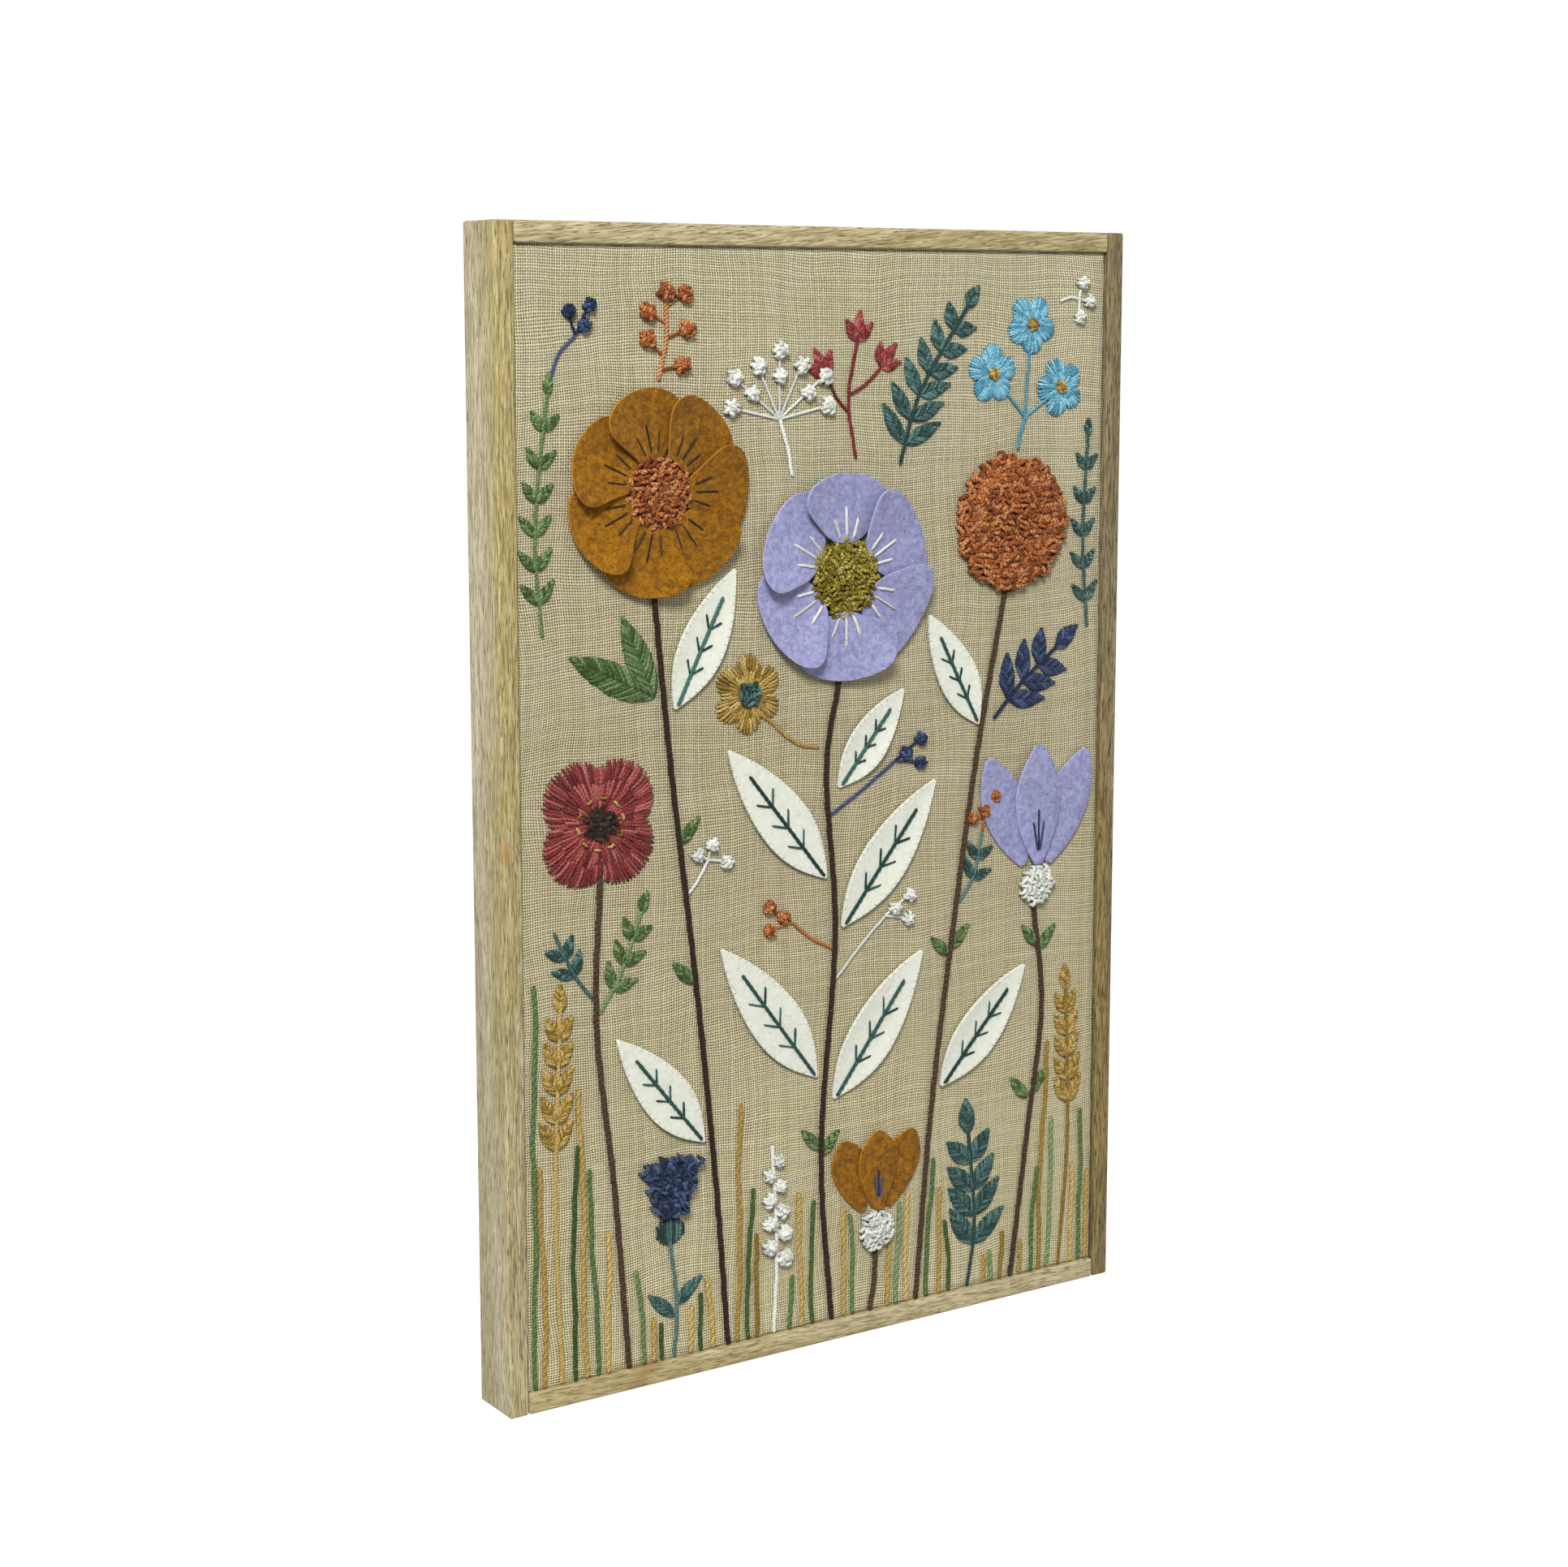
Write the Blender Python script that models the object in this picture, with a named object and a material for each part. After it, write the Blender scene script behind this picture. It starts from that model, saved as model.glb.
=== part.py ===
"""Embroidered wall hanging in a shallow wooden frame.

Hessian is stretched over a thin board that sits just behind the front of the frame. Felt petals and
leaves, loop pile, flat stitched leaves, knots and stem stitch lie on the cloth. Lengths in the tables
are millimetres on the front of the hanging: x to the right of its middle, h up from its lowest edge.
"""

import math
from collections import namedtuple

import bpy
from mathutils import Vector

MM = 0.001

# Driving sizes of the whole hanging
WIDTH = 400.0
HEIGHT = 610.0
DEPTH = 33.0
RAIL = 11.0
RAIL_EDGE = 1.2
CLOTH_RECESS = 3.0
CLOTH_THICKNESS = 1.0
CLOTH_LIP = 16.0
BOARD_THICKNESS = 3.0
GAP = 0.3
LEAFLET_LOW = GAP + 0.05
HEAD_LOW = GAP + 0.07
KNOT_LOW = GAP + 0.1

# Sizes of what is sewn on
FELT = 1.6
STEM_WIDTH = 3.6
STEM_HEIGHT = 2.2
STALK_WIDTH = 2.6
STALK_HEIGHT = 1.7
STITCH_HEIGHT = 1.5
PILE_HEIGHT = 7.0

Paint = namedtuple("Paint", "colour roughness")
PAINTS = {
    "mango_wood": Paint((0.47, 0.36, 0.19), 0.62),
    "hessian": Paint((0.58, 0.45, 0.27), 0.95),
    "hardboard": Paint((0.28, 0.17, 0.09), 0.85),
    "ochre_felt": Paint((0.39, 0.14, 0.010), 0.98),
    "lavender_felt": Paint((0.30, 0.26, 0.55), 0.98),
    "white_felt": Paint((0.78, 0.78, 0.70), 0.98),
    "rust_yarn": Paint((0.46, 0.11, 0.025), 0.95),
    "olive_yarn": Paint((0.36, 0.31, 0.02), 0.95),
    "white_yarn": Paint((0.82, 0.82, 0.80), 0.95),
    "red_yarn": Paint((0.33, 0.022, 0.022), 0.95),
    "brown_yarn": Paint((0.045, 0.020, 0.014), 0.95),
    "teal_yarn": Paint((0.016, 0.090, 0.070), 0.95),
    "green_yarn": Paint((0.050, 0.170, 0.035), 0.95),
    "navy_yarn": Paint((0.018, 0.030, 0.130), 0.95),
    "blue_yarn": Paint((0.10, 0.44, 0.66), 0.95),
    "mustard_yarn": Paint((0.42, 0.24, 0.035), 0.95),
}


def clear_scene():
    for item in list(bpy.data.objects):
        bpy.data.objects.remove(item)


def material(name):
    """The Principled material of this colour name, made once."""
    found = bpy.data.materials.get(name)
    if found:
        return found
    made = bpy.data.materials.new(name)
    made.use_nodes = True
    shader = made.node_tree.nodes["Principled BSDF"]
    shader.inputs["Base Color"].default_value = (*PAINTS[name].colour, 1.0)
    shader.inputs["Roughness"].default_value = PAINTS[name].roughness
    made.diffuse_color = (*PAINTS[name].colour, 1.0)
    return made


def place(x, h, out):
    """A point of the front, out millimetres in front of the cloth, in world metres.

    The origin is where a nail carries the top rail: its underside, in the plane of the wall.
    """
    return Vector((x, -(DEPTH - CLOTH_RECESS + out), h - (HEIGHT - RAIL))) * MM


def solid(name, paint, points, faces):
    """A named object from world points and faces, with its normals facing out."""
    mesh = bpy.data.meshes.new(name)
    mesh.from_pydata([tuple(p) for p in points], [], faces)
    mesh.validate()
    mesh.materials.append(material(paint))
    made = bpy.data.objects.new(name, mesh)
    bpy.context.scene.collection.objects.link(made)
    return made


# Frame

def block(name, paint, low, high, bevel):
    """A bar or panel between two corners, in millimetres from the origin, with softened edges."""
    low = Vector(low) * MM
    high = Vector(high) * MM
    corners = [(x, y, z) for x in (low.x, high.x) for y in (low.y, high.y) for z in (low.z, high.z)]
    centre = (low + high) / 2
    points = [Vector(c) - centre for c in corners]
    faces = [(0, 1, 3, 2), (4, 6, 7, 5), (0, 4, 5, 1), (2, 3, 7, 6), (0, 2, 6, 4), (1, 5, 7, 3)]
    made = solid(name, paint, points, faces)
    made.location = centre
    if bevel:
        softened = made.modifiers.new("edges", "BEVEL")
        softened.width = bevel * MM
        softened.segments = 2
        softened.limit_method = "NONE"
    return made


def frame():
    """Two stiles the full height of the frame, with a rail butted between them at top and bottom."""
    top = RAIL
    bottom = RAIL - HEIGHT
    outer = WIDTH / 2
    inner = outer - RAIL
    block("stile_left", "mango_wood", (-outer, -DEPTH, bottom), (-inner, 0, top), RAIL_EDGE)
    block("stile_right", "mango_wood", (inner, -DEPTH, bottom), (outer, 0, top), RAIL_EDGE)
    reach = inner - GAP
    block("rail_top", "mango_wood", (-reach, -DEPTH, 0), (reach, 0, top), RAIL_EDGE)
    block("rail_bottom", "mango_wood", (-reach, -DEPTH, bottom), (reach, 0, bottom + RAIL), RAIL_EDGE)


# Cloth and the board that it is stretched over

def ring(half_x, half_z, y):
    """The four corners of a level rectangle of the cloth, centred on the opening."""
    middle = (2 * RAIL - HEIGHT) / 2
    signs = ((-1, -1), (1, -1), (1, 1), (-1, 1))
    return [Vector((sx * half_x, y, middle + sz * half_z)) * MM for sx, sz in signs]


def cloth_and_board():
    """The cloth covers the board's front, turns round its edges and ends in a lip on its back."""
    half_x = WIDTH / 2 - RAIL - GAP
    half_z = HEIGHT / 2 - RAIL - GAP
    front = CLOTH_RECESS - DEPTH
    inside = front + CLOTH_THICKNESS
    board_front = inside + GAP
    board_back = board_front + BOARD_THICKNESS
    lip_front = board_back + GAP
    lip_back = lip_front + CLOTH_THICKNESS
    wall = CLOTH_THICKNESS
    turn = 0.6
    lip_x = half_x - CLOTH_LIP
    lip_z = half_z - CLOTH_LIP
    loops = [
        ring(half_x - turn, half_z - turn, front),
        ring(half_x, half_z, front + turn),
        ring(half_x, half_z, lip_back - turn),
        ring(half_x - turn, half_z - turn, lip_back),
        ring(lip_x, lip_z, lip_back),
        ring(lip_x, lip_z, lip_front),
        ring(half_x - wall, half_z - wall, lip_front),
        ring(half_x - wall, half_z - wall, inside),
    ]
    points = [p for loop in loops for p in loop]
    faces = [(3, 2, 1, 0)]
    for level in range(len(loops) - 1):
        for side in range(4):
            a = 4 * level + side
            b = 4 * level + (side + 1) % 4
            faces.append((a, b, b + 4, a + 4))
    last = 4 * (len(loops) - 1)
    faces.append((last, last + 1, last + 2, last + 3))
    faces = [tuple(reversed(face)) for face in faces]
    solid("cloth", "hessian", points, faces)
    clear = wall + GAP
    middle = (2 * RAIL - HEIGHT) / 2
    low = (clear - half_x, board_front, middle - half_z + clear)
    high = (half_x - clear, board_back, middle + half_z - clear)
    block("board", "hardboard", low, high, 0)


# Shapes shared by everything that is sewn on

def smooth_path(points, steps):
    """Points evenly spread in parameter along a Catmull-Rom curve through the given ones."""
    first = [2 * a - b for a, b in zip(points[0], points[1])]
    last = [2 * a - b for a, b in zip(points[-1], points[-2])]
    p = [Vector(q) for q in (first, *points, last)]
    spans = len(points) - 1
    made = []
    for i in range(steps + 1):
        t = spans * i / steps
        k = min(int(t), spans - 1)
        t -= k
        a, b, c, d = p[k:k + 4]
        made.append(
            0.5 * (2 * b + (c - a) * t + (2 * a - 5 * b + 4 * c - d) * t * t
                   + (3 * b - a - 3 * c + d) * t ** 3)
        )
    return made


def ridge(name, paint, points, width, height, steps):
    """A line of stem stitch: a half-round rib along a smooth path of (x, h) points."""
    path = smooth_path(points, steps)
    profile = ((-0.5, 0.0), (-0.36, 0.66), (0.0, 1.0), (0.36, 0.66), (0.5, 0.0))
    count = len(profile)
    verts = []
    for i, at in enumerate(path):
        ahead = path[min(i + 1, steps)] - path[max(i - 1, 0)]
        side = Vector((ahead.y, -ahead.x)).normalized()
        for across, up in profile:
            spot = at + side * across * width
            verts.append(place(spot.x, spot.y, GAP + up * height))
    faces = []
    for i in range(steps):
        for j in range(count):
            a = i * count + j
            b = i * count + (j + 1) % count
            faces.append((a, b, b + count, a + count))
    faces.append(tuple(reversed(range(count))))
    faces.append(tuple(range(steps * count, (steps + 1) * count)))
    return solid(name, paint, verts, faces)


def plate(name, paint, rows, columns, shape):
    """A sheet that is closed all round: shape(u, v) gives (x, h, bottom, top) for u 0..1, v -1..1."""
    grid = [[shape(i / rows, 2 * j / columns - 1) for j in range(columns + 1)] for i in range(rows + 1)]
    wide = columns + 1
    flat = [spot for row in grid for spot in row]
    tops = [place(x, h, top) for x, h, bottom, top in flat]
    bottoms = [place(x, h, bottom) for x, h, bottom, top in flat]
    under = len(flat)
    faces = []
    for i in range(rows):
        for j in range(columns):
            a = i * wide + j
            faces.append((a, a + wide, a + wide + 1, a + 1))
            faces.append(tuple(under + k for k in (a, a + 1, a + wide + 1, a + wide)))
    rim = [j for j in range(wide)]
    rim += [i * wide + columns for i in range(1, rows + 1)]
    rim += [rows * wide + j for j in range(columns - 1, -1, -1)]
    rim += [i * wide for i in range(rows - 1, 0, -1)]
    for k, a in enumerate(rim):
        b = rim[(k + 1) % len(rim)]
        faces.append((a, b, under + b, under + a))
    return solid(name, paint, tops + bottoms, faces)


def turned(x, h, angle, along, across):
    """The point along and across from (x, h), with along at this angle in degrees from +x."""
    a = math.radians(angle)
    return x + along * math.cos(a) - across * math.sin(a), h + along * math.sin(a) + across * math.cos(a)


def lens_width(u, fullest=0.45, blunt=0.05):
    """Half-width of a pointed leaf at share u of its length, 1 at its fullest."""
    share = u / fullest / 2 if u < fullest else 0.5 + (u - fullest) / (1 - fullest) / 2
    return blunt + (1 - blunt) * math.sin(math.pi * share) ** 0.85


def lens(name, paint, x, h, angle, length, half, low, thick, crown=0.3, rows=5, columns=2):
    """A pointed leaf that lies flat, a little thicker down its middle."""
    def shape(u, v):
        along = u * length
        across = v * half * lens_width(u)
        px, ph = turned(x, h, angle, along, across)
        return px, ph, low, low + thick * (1 - crown * v * v)
    return plate(name, paint, rows, columns, shape)


def dome(name, paint, x, h, radius, low, height, rings=3, spokes=18, lump=0.12, flat=0.3, turn=0.0):
    """A cushion of pile on a level base; radius(angle) is its outline, and lumps are the loops."""
    verts = [place(x, h, low + height)]
    turn = math.radians(turn)
    for r in range(1, rings + 1):
        share = math.sin(math.pi / 2 * r / rings)
        for s in range(spokes):
            a = turn + 2 * math.pi * s / spokes
            bump = 1 + lump * math.sin(12.99 * r + 78.23 * s)
            reach = radius(a) * share
            up = height * (flat + (1 - flat) * math.sqrt(max(0.0, 1 - (0.98 * share) ** 4))) * bump
            if r == rings:
                up = height * flat
            verts.append(place(x + reach * math.cos(a), h + reach * math.sin(a), low + up))
    for s in range(spokes):
        a = turn + 2 * math.pi * s / spokes
        reach = radius(a) * 0.97
        verts.append(place(x + reach * math.cos(a), h + reach * math.sin(a), low))
    faces = [(0, 1 + s, 1 + (s + 1) % spokes) for s in range(spokes)]
    for r in range(rings):
        for s in range(spokes):
            a = 1 + r * spokes + s
            b = 1 + r * spokes + (s + 1) % spokes
            faces.append((a, a + spokes, b + spokes, b))
    faces.append(tuple(reversed(range(1 + rings * spokes, 1 + (rings + 1) * spokes))))
    return solid(name, paint, verts, faces)


def round_outline(radius, wobble=0.03):
    return lambda a: radius * (1 + wobble * math.sin(5 * a + 1) * math.cos(2 * a))


def lobed_outline(radius, lobes, notch, turn=0.0):
    """The outline of a flower with this many round petals, notched between them."""
    return lambda a: radius * (1 - notch + notch * abs(math.cos(lobes * (a - math.radians(turn)) / 2)) ** 0.6)


def fuse(name, parts):
    """Joins overlapping shapes into the first of them, which takes the name and becomes one body."""
    helpers = bpy.data.collections.new(name + "_parts")
    bpy.context.scene.collection.children.link(helpers)
    base = parts[0]
    base.name = name
    for number, part in enumerate(parts[1:]):
        part.name = f"{name}_part_{number}"
        helpers.objects.link(part)
        bpy.context.scene.collection.objects.unlink(part)
        part.hide_render = True
        part.display_type = "WIRE"
    union = base.modifiers.new("union", "BOOLEAN")
    union.operation = "UNION"
    union.solver = "EXACT"
    union.operand_type = "COLLECTION"
    union.collection = helpers
    return base


# Main stems, which rise from the lower edge of the cloth

Stem = namedtuple("Stem", "name points")
STEMS = (
    Stem("stem_cosmos", ((2, 12), (-5, 110), (4, 230), (-2, 320), (7, 373))),
    Stem("stem_sunflower", ((-66, 12), (-74, 110), (-86, 220), (-100, 330), (-110, 425))),
    Stem("stem_poppy", ((-128, 12), (-136, 110), (-146, 200), (-143, 277))),
    Stem("stem_marigold", ((60, 12), (70, 120), (84, 220), (100, 320), (119, 411.5))),
    Stem("stem_tulip", ((128, 12), (140, 100), (149, 170), (142, 230))),
    Stem("stem_bud", ((28, 12), (31, 28), (32, 46.3))),
)
STEM_STEP = 22.0


def stems():
    for stem in STEMS:
        rise = stem.points[-1][1] - stem.points[0][1]
        steps = round(rise / STEM_STEP)
        ridge(stem.name, "brown_yarn", stem.points, STEM_WIDTH, STEM_HEIGHT, steps)


# Felt leaves, held down by stitching along their middles

Leaf = namedtuple("Leaf", "name x h angle length half")
FELT_LEAVES = (
    Leaf("leaf_1", 3, 138, 52, 96, 15.5),
    Leaf("leaf_2", -8, 152, 128, 100, 15.5),
    Leaf("leaf_3", 8, 234, 50, 98, 15.5),
    Leaf("leaf_4", -2, 262, 130, 98, 15.5),
    Leaf("leaf_5", 76, 134, 46, 86, 14.5),
    Leaf("leaf_6", -81, 128, 130, 82, 14.0),
    Leaf("leaf_7", -98, 362, 62, 80, 14.0),
    Leaf("leaf_8", 101, 338, 119, 72, 13.0),
    Leaf("leaf_9", 6, 311, 50, 66, 12.5),
)
LEAF_LIFT = 1.6
LEAF_ROWS = 8
LEAF_COLUMNS = 4


def felt_leaves():
    """Each leaf touches the cloth along its middle, and its edges stand a little clear."""
    for leaf in FELT_LEAVES:
        def shape(u, v, leaf=leaf):
            across = v * leaf.half * lens_width(u, 0.42, 0.04)
            px, ph = turned(leaf.x, leaf.h, leaf.angle, u * leaf.length, across)
            lift = GAP + LEAF_LIFT * (across / leaf.half) ** 2
            return px, ph, lift, lift + FELT
        plate(leaf.name, "white_felt", LEAF_ROWS, LEAF_COLUMNS, shape)


# Flowers with a ring of overlapping felt petals round a pad of loops

Ring = namedtuple("Ring", "name paint x h count inner outer half tilt first")
SUNFLOWER = Ring("sunflower", "ochre_felt", -108, 474, 7, 17.5, 54, 24.5, 0.095, 0)
COSMOS = Ring("cosmos", "lavender_felt", 8, 425, 6, 18.0, 56, 29.5, 0.080, 90)
PETAL_ROWS = 6
PETAL_COLUMNS = 4
PETAL_CLEAR = 0.45
PAD_RADIUS = 16.5


def petal_half(flower, reach):
    """Half-width of a petal at this reach: within its own wedge near the middle, then full and round."""
    wedge = reach * math.tan(math.pi / flower.count) * 0.93
    share = (reach - flower.inner) / (flower.outer - flower.inner)
    swell = min(1.0, share / 0.5)
    full = wedge + (max(flower.half, wedge) - wedge) * swell ** 2
    if share > 0.62:
        full *= math.sqrt(max(0.0, 1 - ((share - 0.62) / 0.385) ** 2))
    return full


def petal_ring(flower):
    """Each petal leans about its own length, so that one edge lies over the next petal's other edge."""
    middle = PETAL_CLEAR + GAP + flower.tilt * flower.half
    for number in range(flower.count):
        angle = flower.first + 360 * number / flower.count

        def shape(u, v, angle=angle):
            reach = flower.inner + (flower.outer - flower.inner) * (1 - (1 - u) ** 1.6)
            across = v * petal_half(flower, reach)
            px, ph = turned(flower.x, flower.h, angle, reach, across)
            lift = middle + flower.tilt * across
            return px, ph, lift, lift + FELT
        plate(f"{flower.name}_petal_{number + 1}", flower.paint, PETAL_ROWS, PETAL_COLUMNS, shape)


def ring_flowers():
    for flower, paint in ((SUNFLOWER, "rust_yarn"), (COSMOS, "olive_yarn")):
        petal_ring(flower)
        outline = round_outline(PAD_RADIUS)
        dome(f"{flower.name}_pad", paint, flower.x, flower.h, outline, GAP, PILE_HEIGHT + 1.5, 4, 16)


# Cup flowers: two felt petals on the cloth and one over them, above a round pad of white loops

Cup = namedtuple("Cup", "name paint x h length half spread fullest")
CUPS = (
    Cup("tulip", "lavender_felt", 143, 254, 69, 15.0, 23, 0.55),
    Cup("bud", "ochre_felt", 32, 70, 46, 12.0, 20, 0.66),
)
CUP_PAD = 11.0


def cup_flowers():
    for cup in CUPS:
        sides = (("left", 1, 0.0), ("right", -1, 0.0), ("front", 0, FELT + GAP))
        for side, way, layer in sides:
            def shape(u, v, way=way, layer=layer):
                half = cup.half + (1.5 if way == 0 else 0.0)
                across = v * half * lens_width(u, cup.fullest, 0.16)
                start = cup.x - way * 8.5
                px, ph = turned(start, cup.h, 90 + way * cup.spread, u * cup.length, across)
                lift = GAP + layer + 0.8 * u * u
                return px, ph, lift, lift + FELT
            plate(f"{cup.name}_petal_{side}", cup.paint, PETAL_ROWS, 4, shape)
        outline = round_outline(CUP_PAD)
        dome(f"{cup.name}_pad", "white_yarn", cup.x, cup.h - CUP_PAD - 1.0, outline, GAP, 6.0, 3, 14)


# Marigold and poppy

MARIGOLD = (122, 450)
MARIGOLD_RADIUS = 38.0
POPPY = (-143, 306)
POPPY_RADIUS = 38.0
POPPY_PETALS = 4
POPPY_NOTCH = 0.28
POPPY_TURN = 45.0
POPPY_PAD = 8.5
POPPY_PAD_HEIGHT = 3.5
FLAT_LUMP = 0.02
FLAT_RIM = 0.7


def round_flowers():
    """The marigold is loops all over; the poppy is flat red stitching with dark loops at its middle."""
    edge = round_outline(MARIGOLD_RADIUS)
    dome("marigold", "rust_yarn", *MARIGOLD, edge, GAP, PILE_HEIGHT + 1, 5, 24, 0.08)
    petals = lobed_outline(POPPY_RADIUS, POPPY_PETALS, POPPY_NOTCH, POPPY_TURN)
    dome("poppy", "red_yarn", *POPPY, petals, GAP, STITCH_HEIGHT, 3, 32, FLAT_LUMP, FLAT_RIM, POPPY_TURN)
    above = GAP + STITCH_HEIGHT * (1 + FLAT_LUMP) + GAP
    dome("poppy_pad", "brown_yarn", *POPPY, round_outline(POPPY_PAD), above, POPPY_PAD_HEIGHT, 2, 12)


# Parts of the small plants, each of which is fused into one body of a single yarn

LEAFLET_CROWN = 0.3
KNOT_HEIGHT = 5.0
TWIG_WIDTH = 1.8


def stalk(paint, points, steps=4, width=STALK_WIDTH):
    return ridge("stalk", paint, points, width, STALK_HEIGHT, steps)


def twig(paint, start, end, width=TWIG_WIDTH):
    """A short straight stalk between two points."""
    middle = ((start[0] + end[0]) / 2, (start[1] + end[1]) / 2)
    return stalk(paint, (start, middle, end), 2, width)


def leaflet(paint, x, h, angle, length, half):
    return lens("leaflet", paint, x, h, angle, length, half, LEAFLET_LOW, STITCH_HEIGHT, LEAFLET_CROWN, 3)


def knot(paint, x, h, size, height=KNOT_HEIGHT):
    return dome("knot", paint, x, h, round_outline(size, 0.08), KNOT_LOW, height, 2, 7, 0.05, 0.45)


def flat_head(paint, x, h, outline, spokes, turn=0.0):
    """A flower or cup of flat stitching, laid a hair higher than the stalk that it joins."""
    height = STITCH_HEIGHT + 0.3
    return dome("head", paint, x, h, outline, HEAD_LOW, height, 2, spokes, FLAT_LUMP, FLAT_RIM, turn)


def on_path(points, share):
    """The point at this share of a stalk's length, and the stalk's heading there in degrees."""
    samples = 40
    path = smooth_path(points, samples)
    i = min(samples - 1, int(share * samples))
    ahead = path[i + 1] - path[i]
    return path[i].x, path[i].y, math.degrees(math.atan2(ahead.y, ahead.x))


# Plants with opposite leaflets

Frond = namedtuple("Frond", "name paint points pairs first length half splay shrink")
FRONDS = (
    Frond("fern", "teal_yarn", ((46, 484), (60, 524), (92, 570)), 6, 0.12, 27, 5.2, 48, 0.50),
    Frond("teal_sprig", "teal_yarn", ((97, 12), (102, 50), (97, 104)), 4, 0.28, 29, 6.4, 42, 0.30),
    Frond("navy_sprig", "navy_yarn", ((112, 340), (133, 360), (157, 378)), 3, 0.24, 27, 6.0, 46, 0.30),
    Frond("wheat_left", "mustard_yarn", ((-168, 12), (-171, 110), (-167, 216)), 5, 0.62, 19, 4.6, 30, 0.25),
    Frond("wheat_right", "mustard_yarn", ((164, 12), (170, 90), (167, 182)), 5, 0.58, 19, 4.6, 30, 0.25),
)
FROND_TIP = 0.97


def fronds():
    """Opposite pairs of stitched leaflets along a stalk, with one more at its tip."""
    for frond in FRONDS:
        parts = [stalk(frond.paint, frond.points, 6)]
        for pair in range(frond.pairs):
            share = frond.first + (FROND_TIP - frond.first) * pair / frond.pairs
            x, h, heading = on_path(frond.points, share)
            length = frond.length * (1 - frond.shrink * pair / frond.pairs)
            for way in (1, -1):
                parts.append(leaflet(frond.paint, x, h, heading + way * frond.splay, length, frond.half))
        x, h, heading = on_path(frond.points, FROND_TIP)
        length = frond.length * (1 - frond.shrink) + 2
        parts.append(leaflet(frond.paint, x, h, heading, length, frond.half))
        fuse(frond.name, parts)


def green_leaves():
    """Two broad green leaves that share a root beside the sunflower's stem."""
    root = (-109, 368)
    low_leaf = leaflet("green_yarn", *root, 154, 56, 9.5)
    high_leaf = leaflet("green_yarn", *root, 114, 48, 8.5)
    fuse("green_leaves", [low_leaf, high_leaf])


# Plants with knots

UMBEL_ROOT = (-32, 510)
UMBEL_STALK = ((-24, 480), (-27, 495), UMBEL_ROOT)
UMBEL_SPOKES = 7
UMBEL_SPLAY = 26.0
UMBEL_REACH = 31.0
BERRY_TWIG = ((-106, 531), (-101, 554), (-102, 578))
BERRY_COUNT = 5
BERRY_REACH = 13.0
BERRY_SPLAY = 62.0
KNOT_SIZE = 5.4
SPIKE_PATH = ((-36, 12), (-34, 60), (-37, 118))
SPIKE_KNOTS = 9


def umbel():
    """White knots on spokes that fan out from the top of one stalk."""
    parts = [stalk("white_yarn", UMBEL_STALK)]
    for number in range(UMBEL_SPOKES):
        angle = 90 + UMBEL_SPLAY * (number - (UMBEL_SPOKES - 1) / 2)
        reach = UMBEL_REACH + (5 if number % 2 else 0)
        end = turned(*UMBEL_ROOT, angle, reach, 0)
        parts.append(twig("white_yarn", UMBEL_ROOT, end))
        parts.append(knot("white_yarn", *end, KNOT_SIZE))
        if number % 2:
            near = turned(*UMBEL_ROOT, angle, reach * 0.62, 0)
            parts.append(knot("white_yarn", *near, KNOT_SIZE - 0.6))
    fuse("umbel", parts)


def berries():
    """Rust knots to left and right of a twig that rises from behind the sunflower."""
    parts = [stalk("rust_yarn", BERRY_TWIG)]
    for number in range(BERRY_COUNT):
        x, h, heading = on_path(BERRY_TWIG, 0.12 + 0.17 * number)
        way = 1 if number % 2 else -1
        end = turned(x, h, heading + way * BERRY_SPLAY, BERRY_REACH, 0)
        parts.append(twig("rust_yarn", (x, h), end))
        parts.append(knot("rust_yarn", *end, KNOT_SIZE))
    x, h, heading = on_path(BERRY_TWIG, 0.97)
    parts.append(knot("rust_yarn", x, h, KNOT_SIZE))
    fuse("berries", parts)


def white_spike():
    """A spike of white knots, one to each side in turn, smaller towards the tip."""
    parts = [stalk("white_yarn", SPIKE_PATH, 6)]
    for number in range(SPIKE_KNOTS):
        x, h, heading = on_path(SPIKE_PATH, 0.40 + 0.065 * number)
        way = 1 if number % 2 else -1
        end = turned(x, h, heading + way * 90, 5.0 - 0.25 * number, 0)
        parts.append(knot("white_yarn", *end, 5.8 - 0.22 * number))
    fuse("white_spike", parts)


# Thistle

THISTLE_STALK = ((-100, 12), (-98, 40), (-102, 76))
THISTLE_CUP = (-102, 82)
THISTLE_CUP_RADIUS = 8.5
TUFT_RISE = 28.0
TUFT_SPREAD = 11.5
TUFT_ROUND = 4.0
TUFT_EDGE = 3.0
TUFT_CROWN = 4.5


def thistle():
    """A teal stalk and cup of flat stitching under a fan of navy loops."""
    parts = [
        stalk("teal_yarn", THISTLE_STALK),
        leaflet("teal_yarn", -99, 40, 40, 22, 4.4),
        leaflet("teal_yarn", -99, 34, 138, 22, 4.4),
        flat_head("teal_yarn", *THISTLE_CUP, round_outline(THISTLE_CUP_RADIUS, 0.0), 12),
    ]
    fuse("thistle_cup", parts)
    foot = THISTLE_CUP[1] + THISTLE_CUP_RADIUS + GAP + 0.6

    def tuft(u, v):
        half = THISTLE_CUP_RADIUS + TUFT_SPREAD * u
        rise = foot + TUFT_RISE * u + TUFT_ROUND * (1 - v * v) * u
        crown = TUFT_CROWN * math.sin(math.pi * (0.15 + 0.7 * u)) * (1 - 0.55 * v * v)
        return THISTLE_CUP[0] - v * half, rise, GAP, GAP + TUFT_EDGE + crown
    plate("thistle_tuft", "navy_yarn", 4, 4, tuft)


# Small flat flowers

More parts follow.
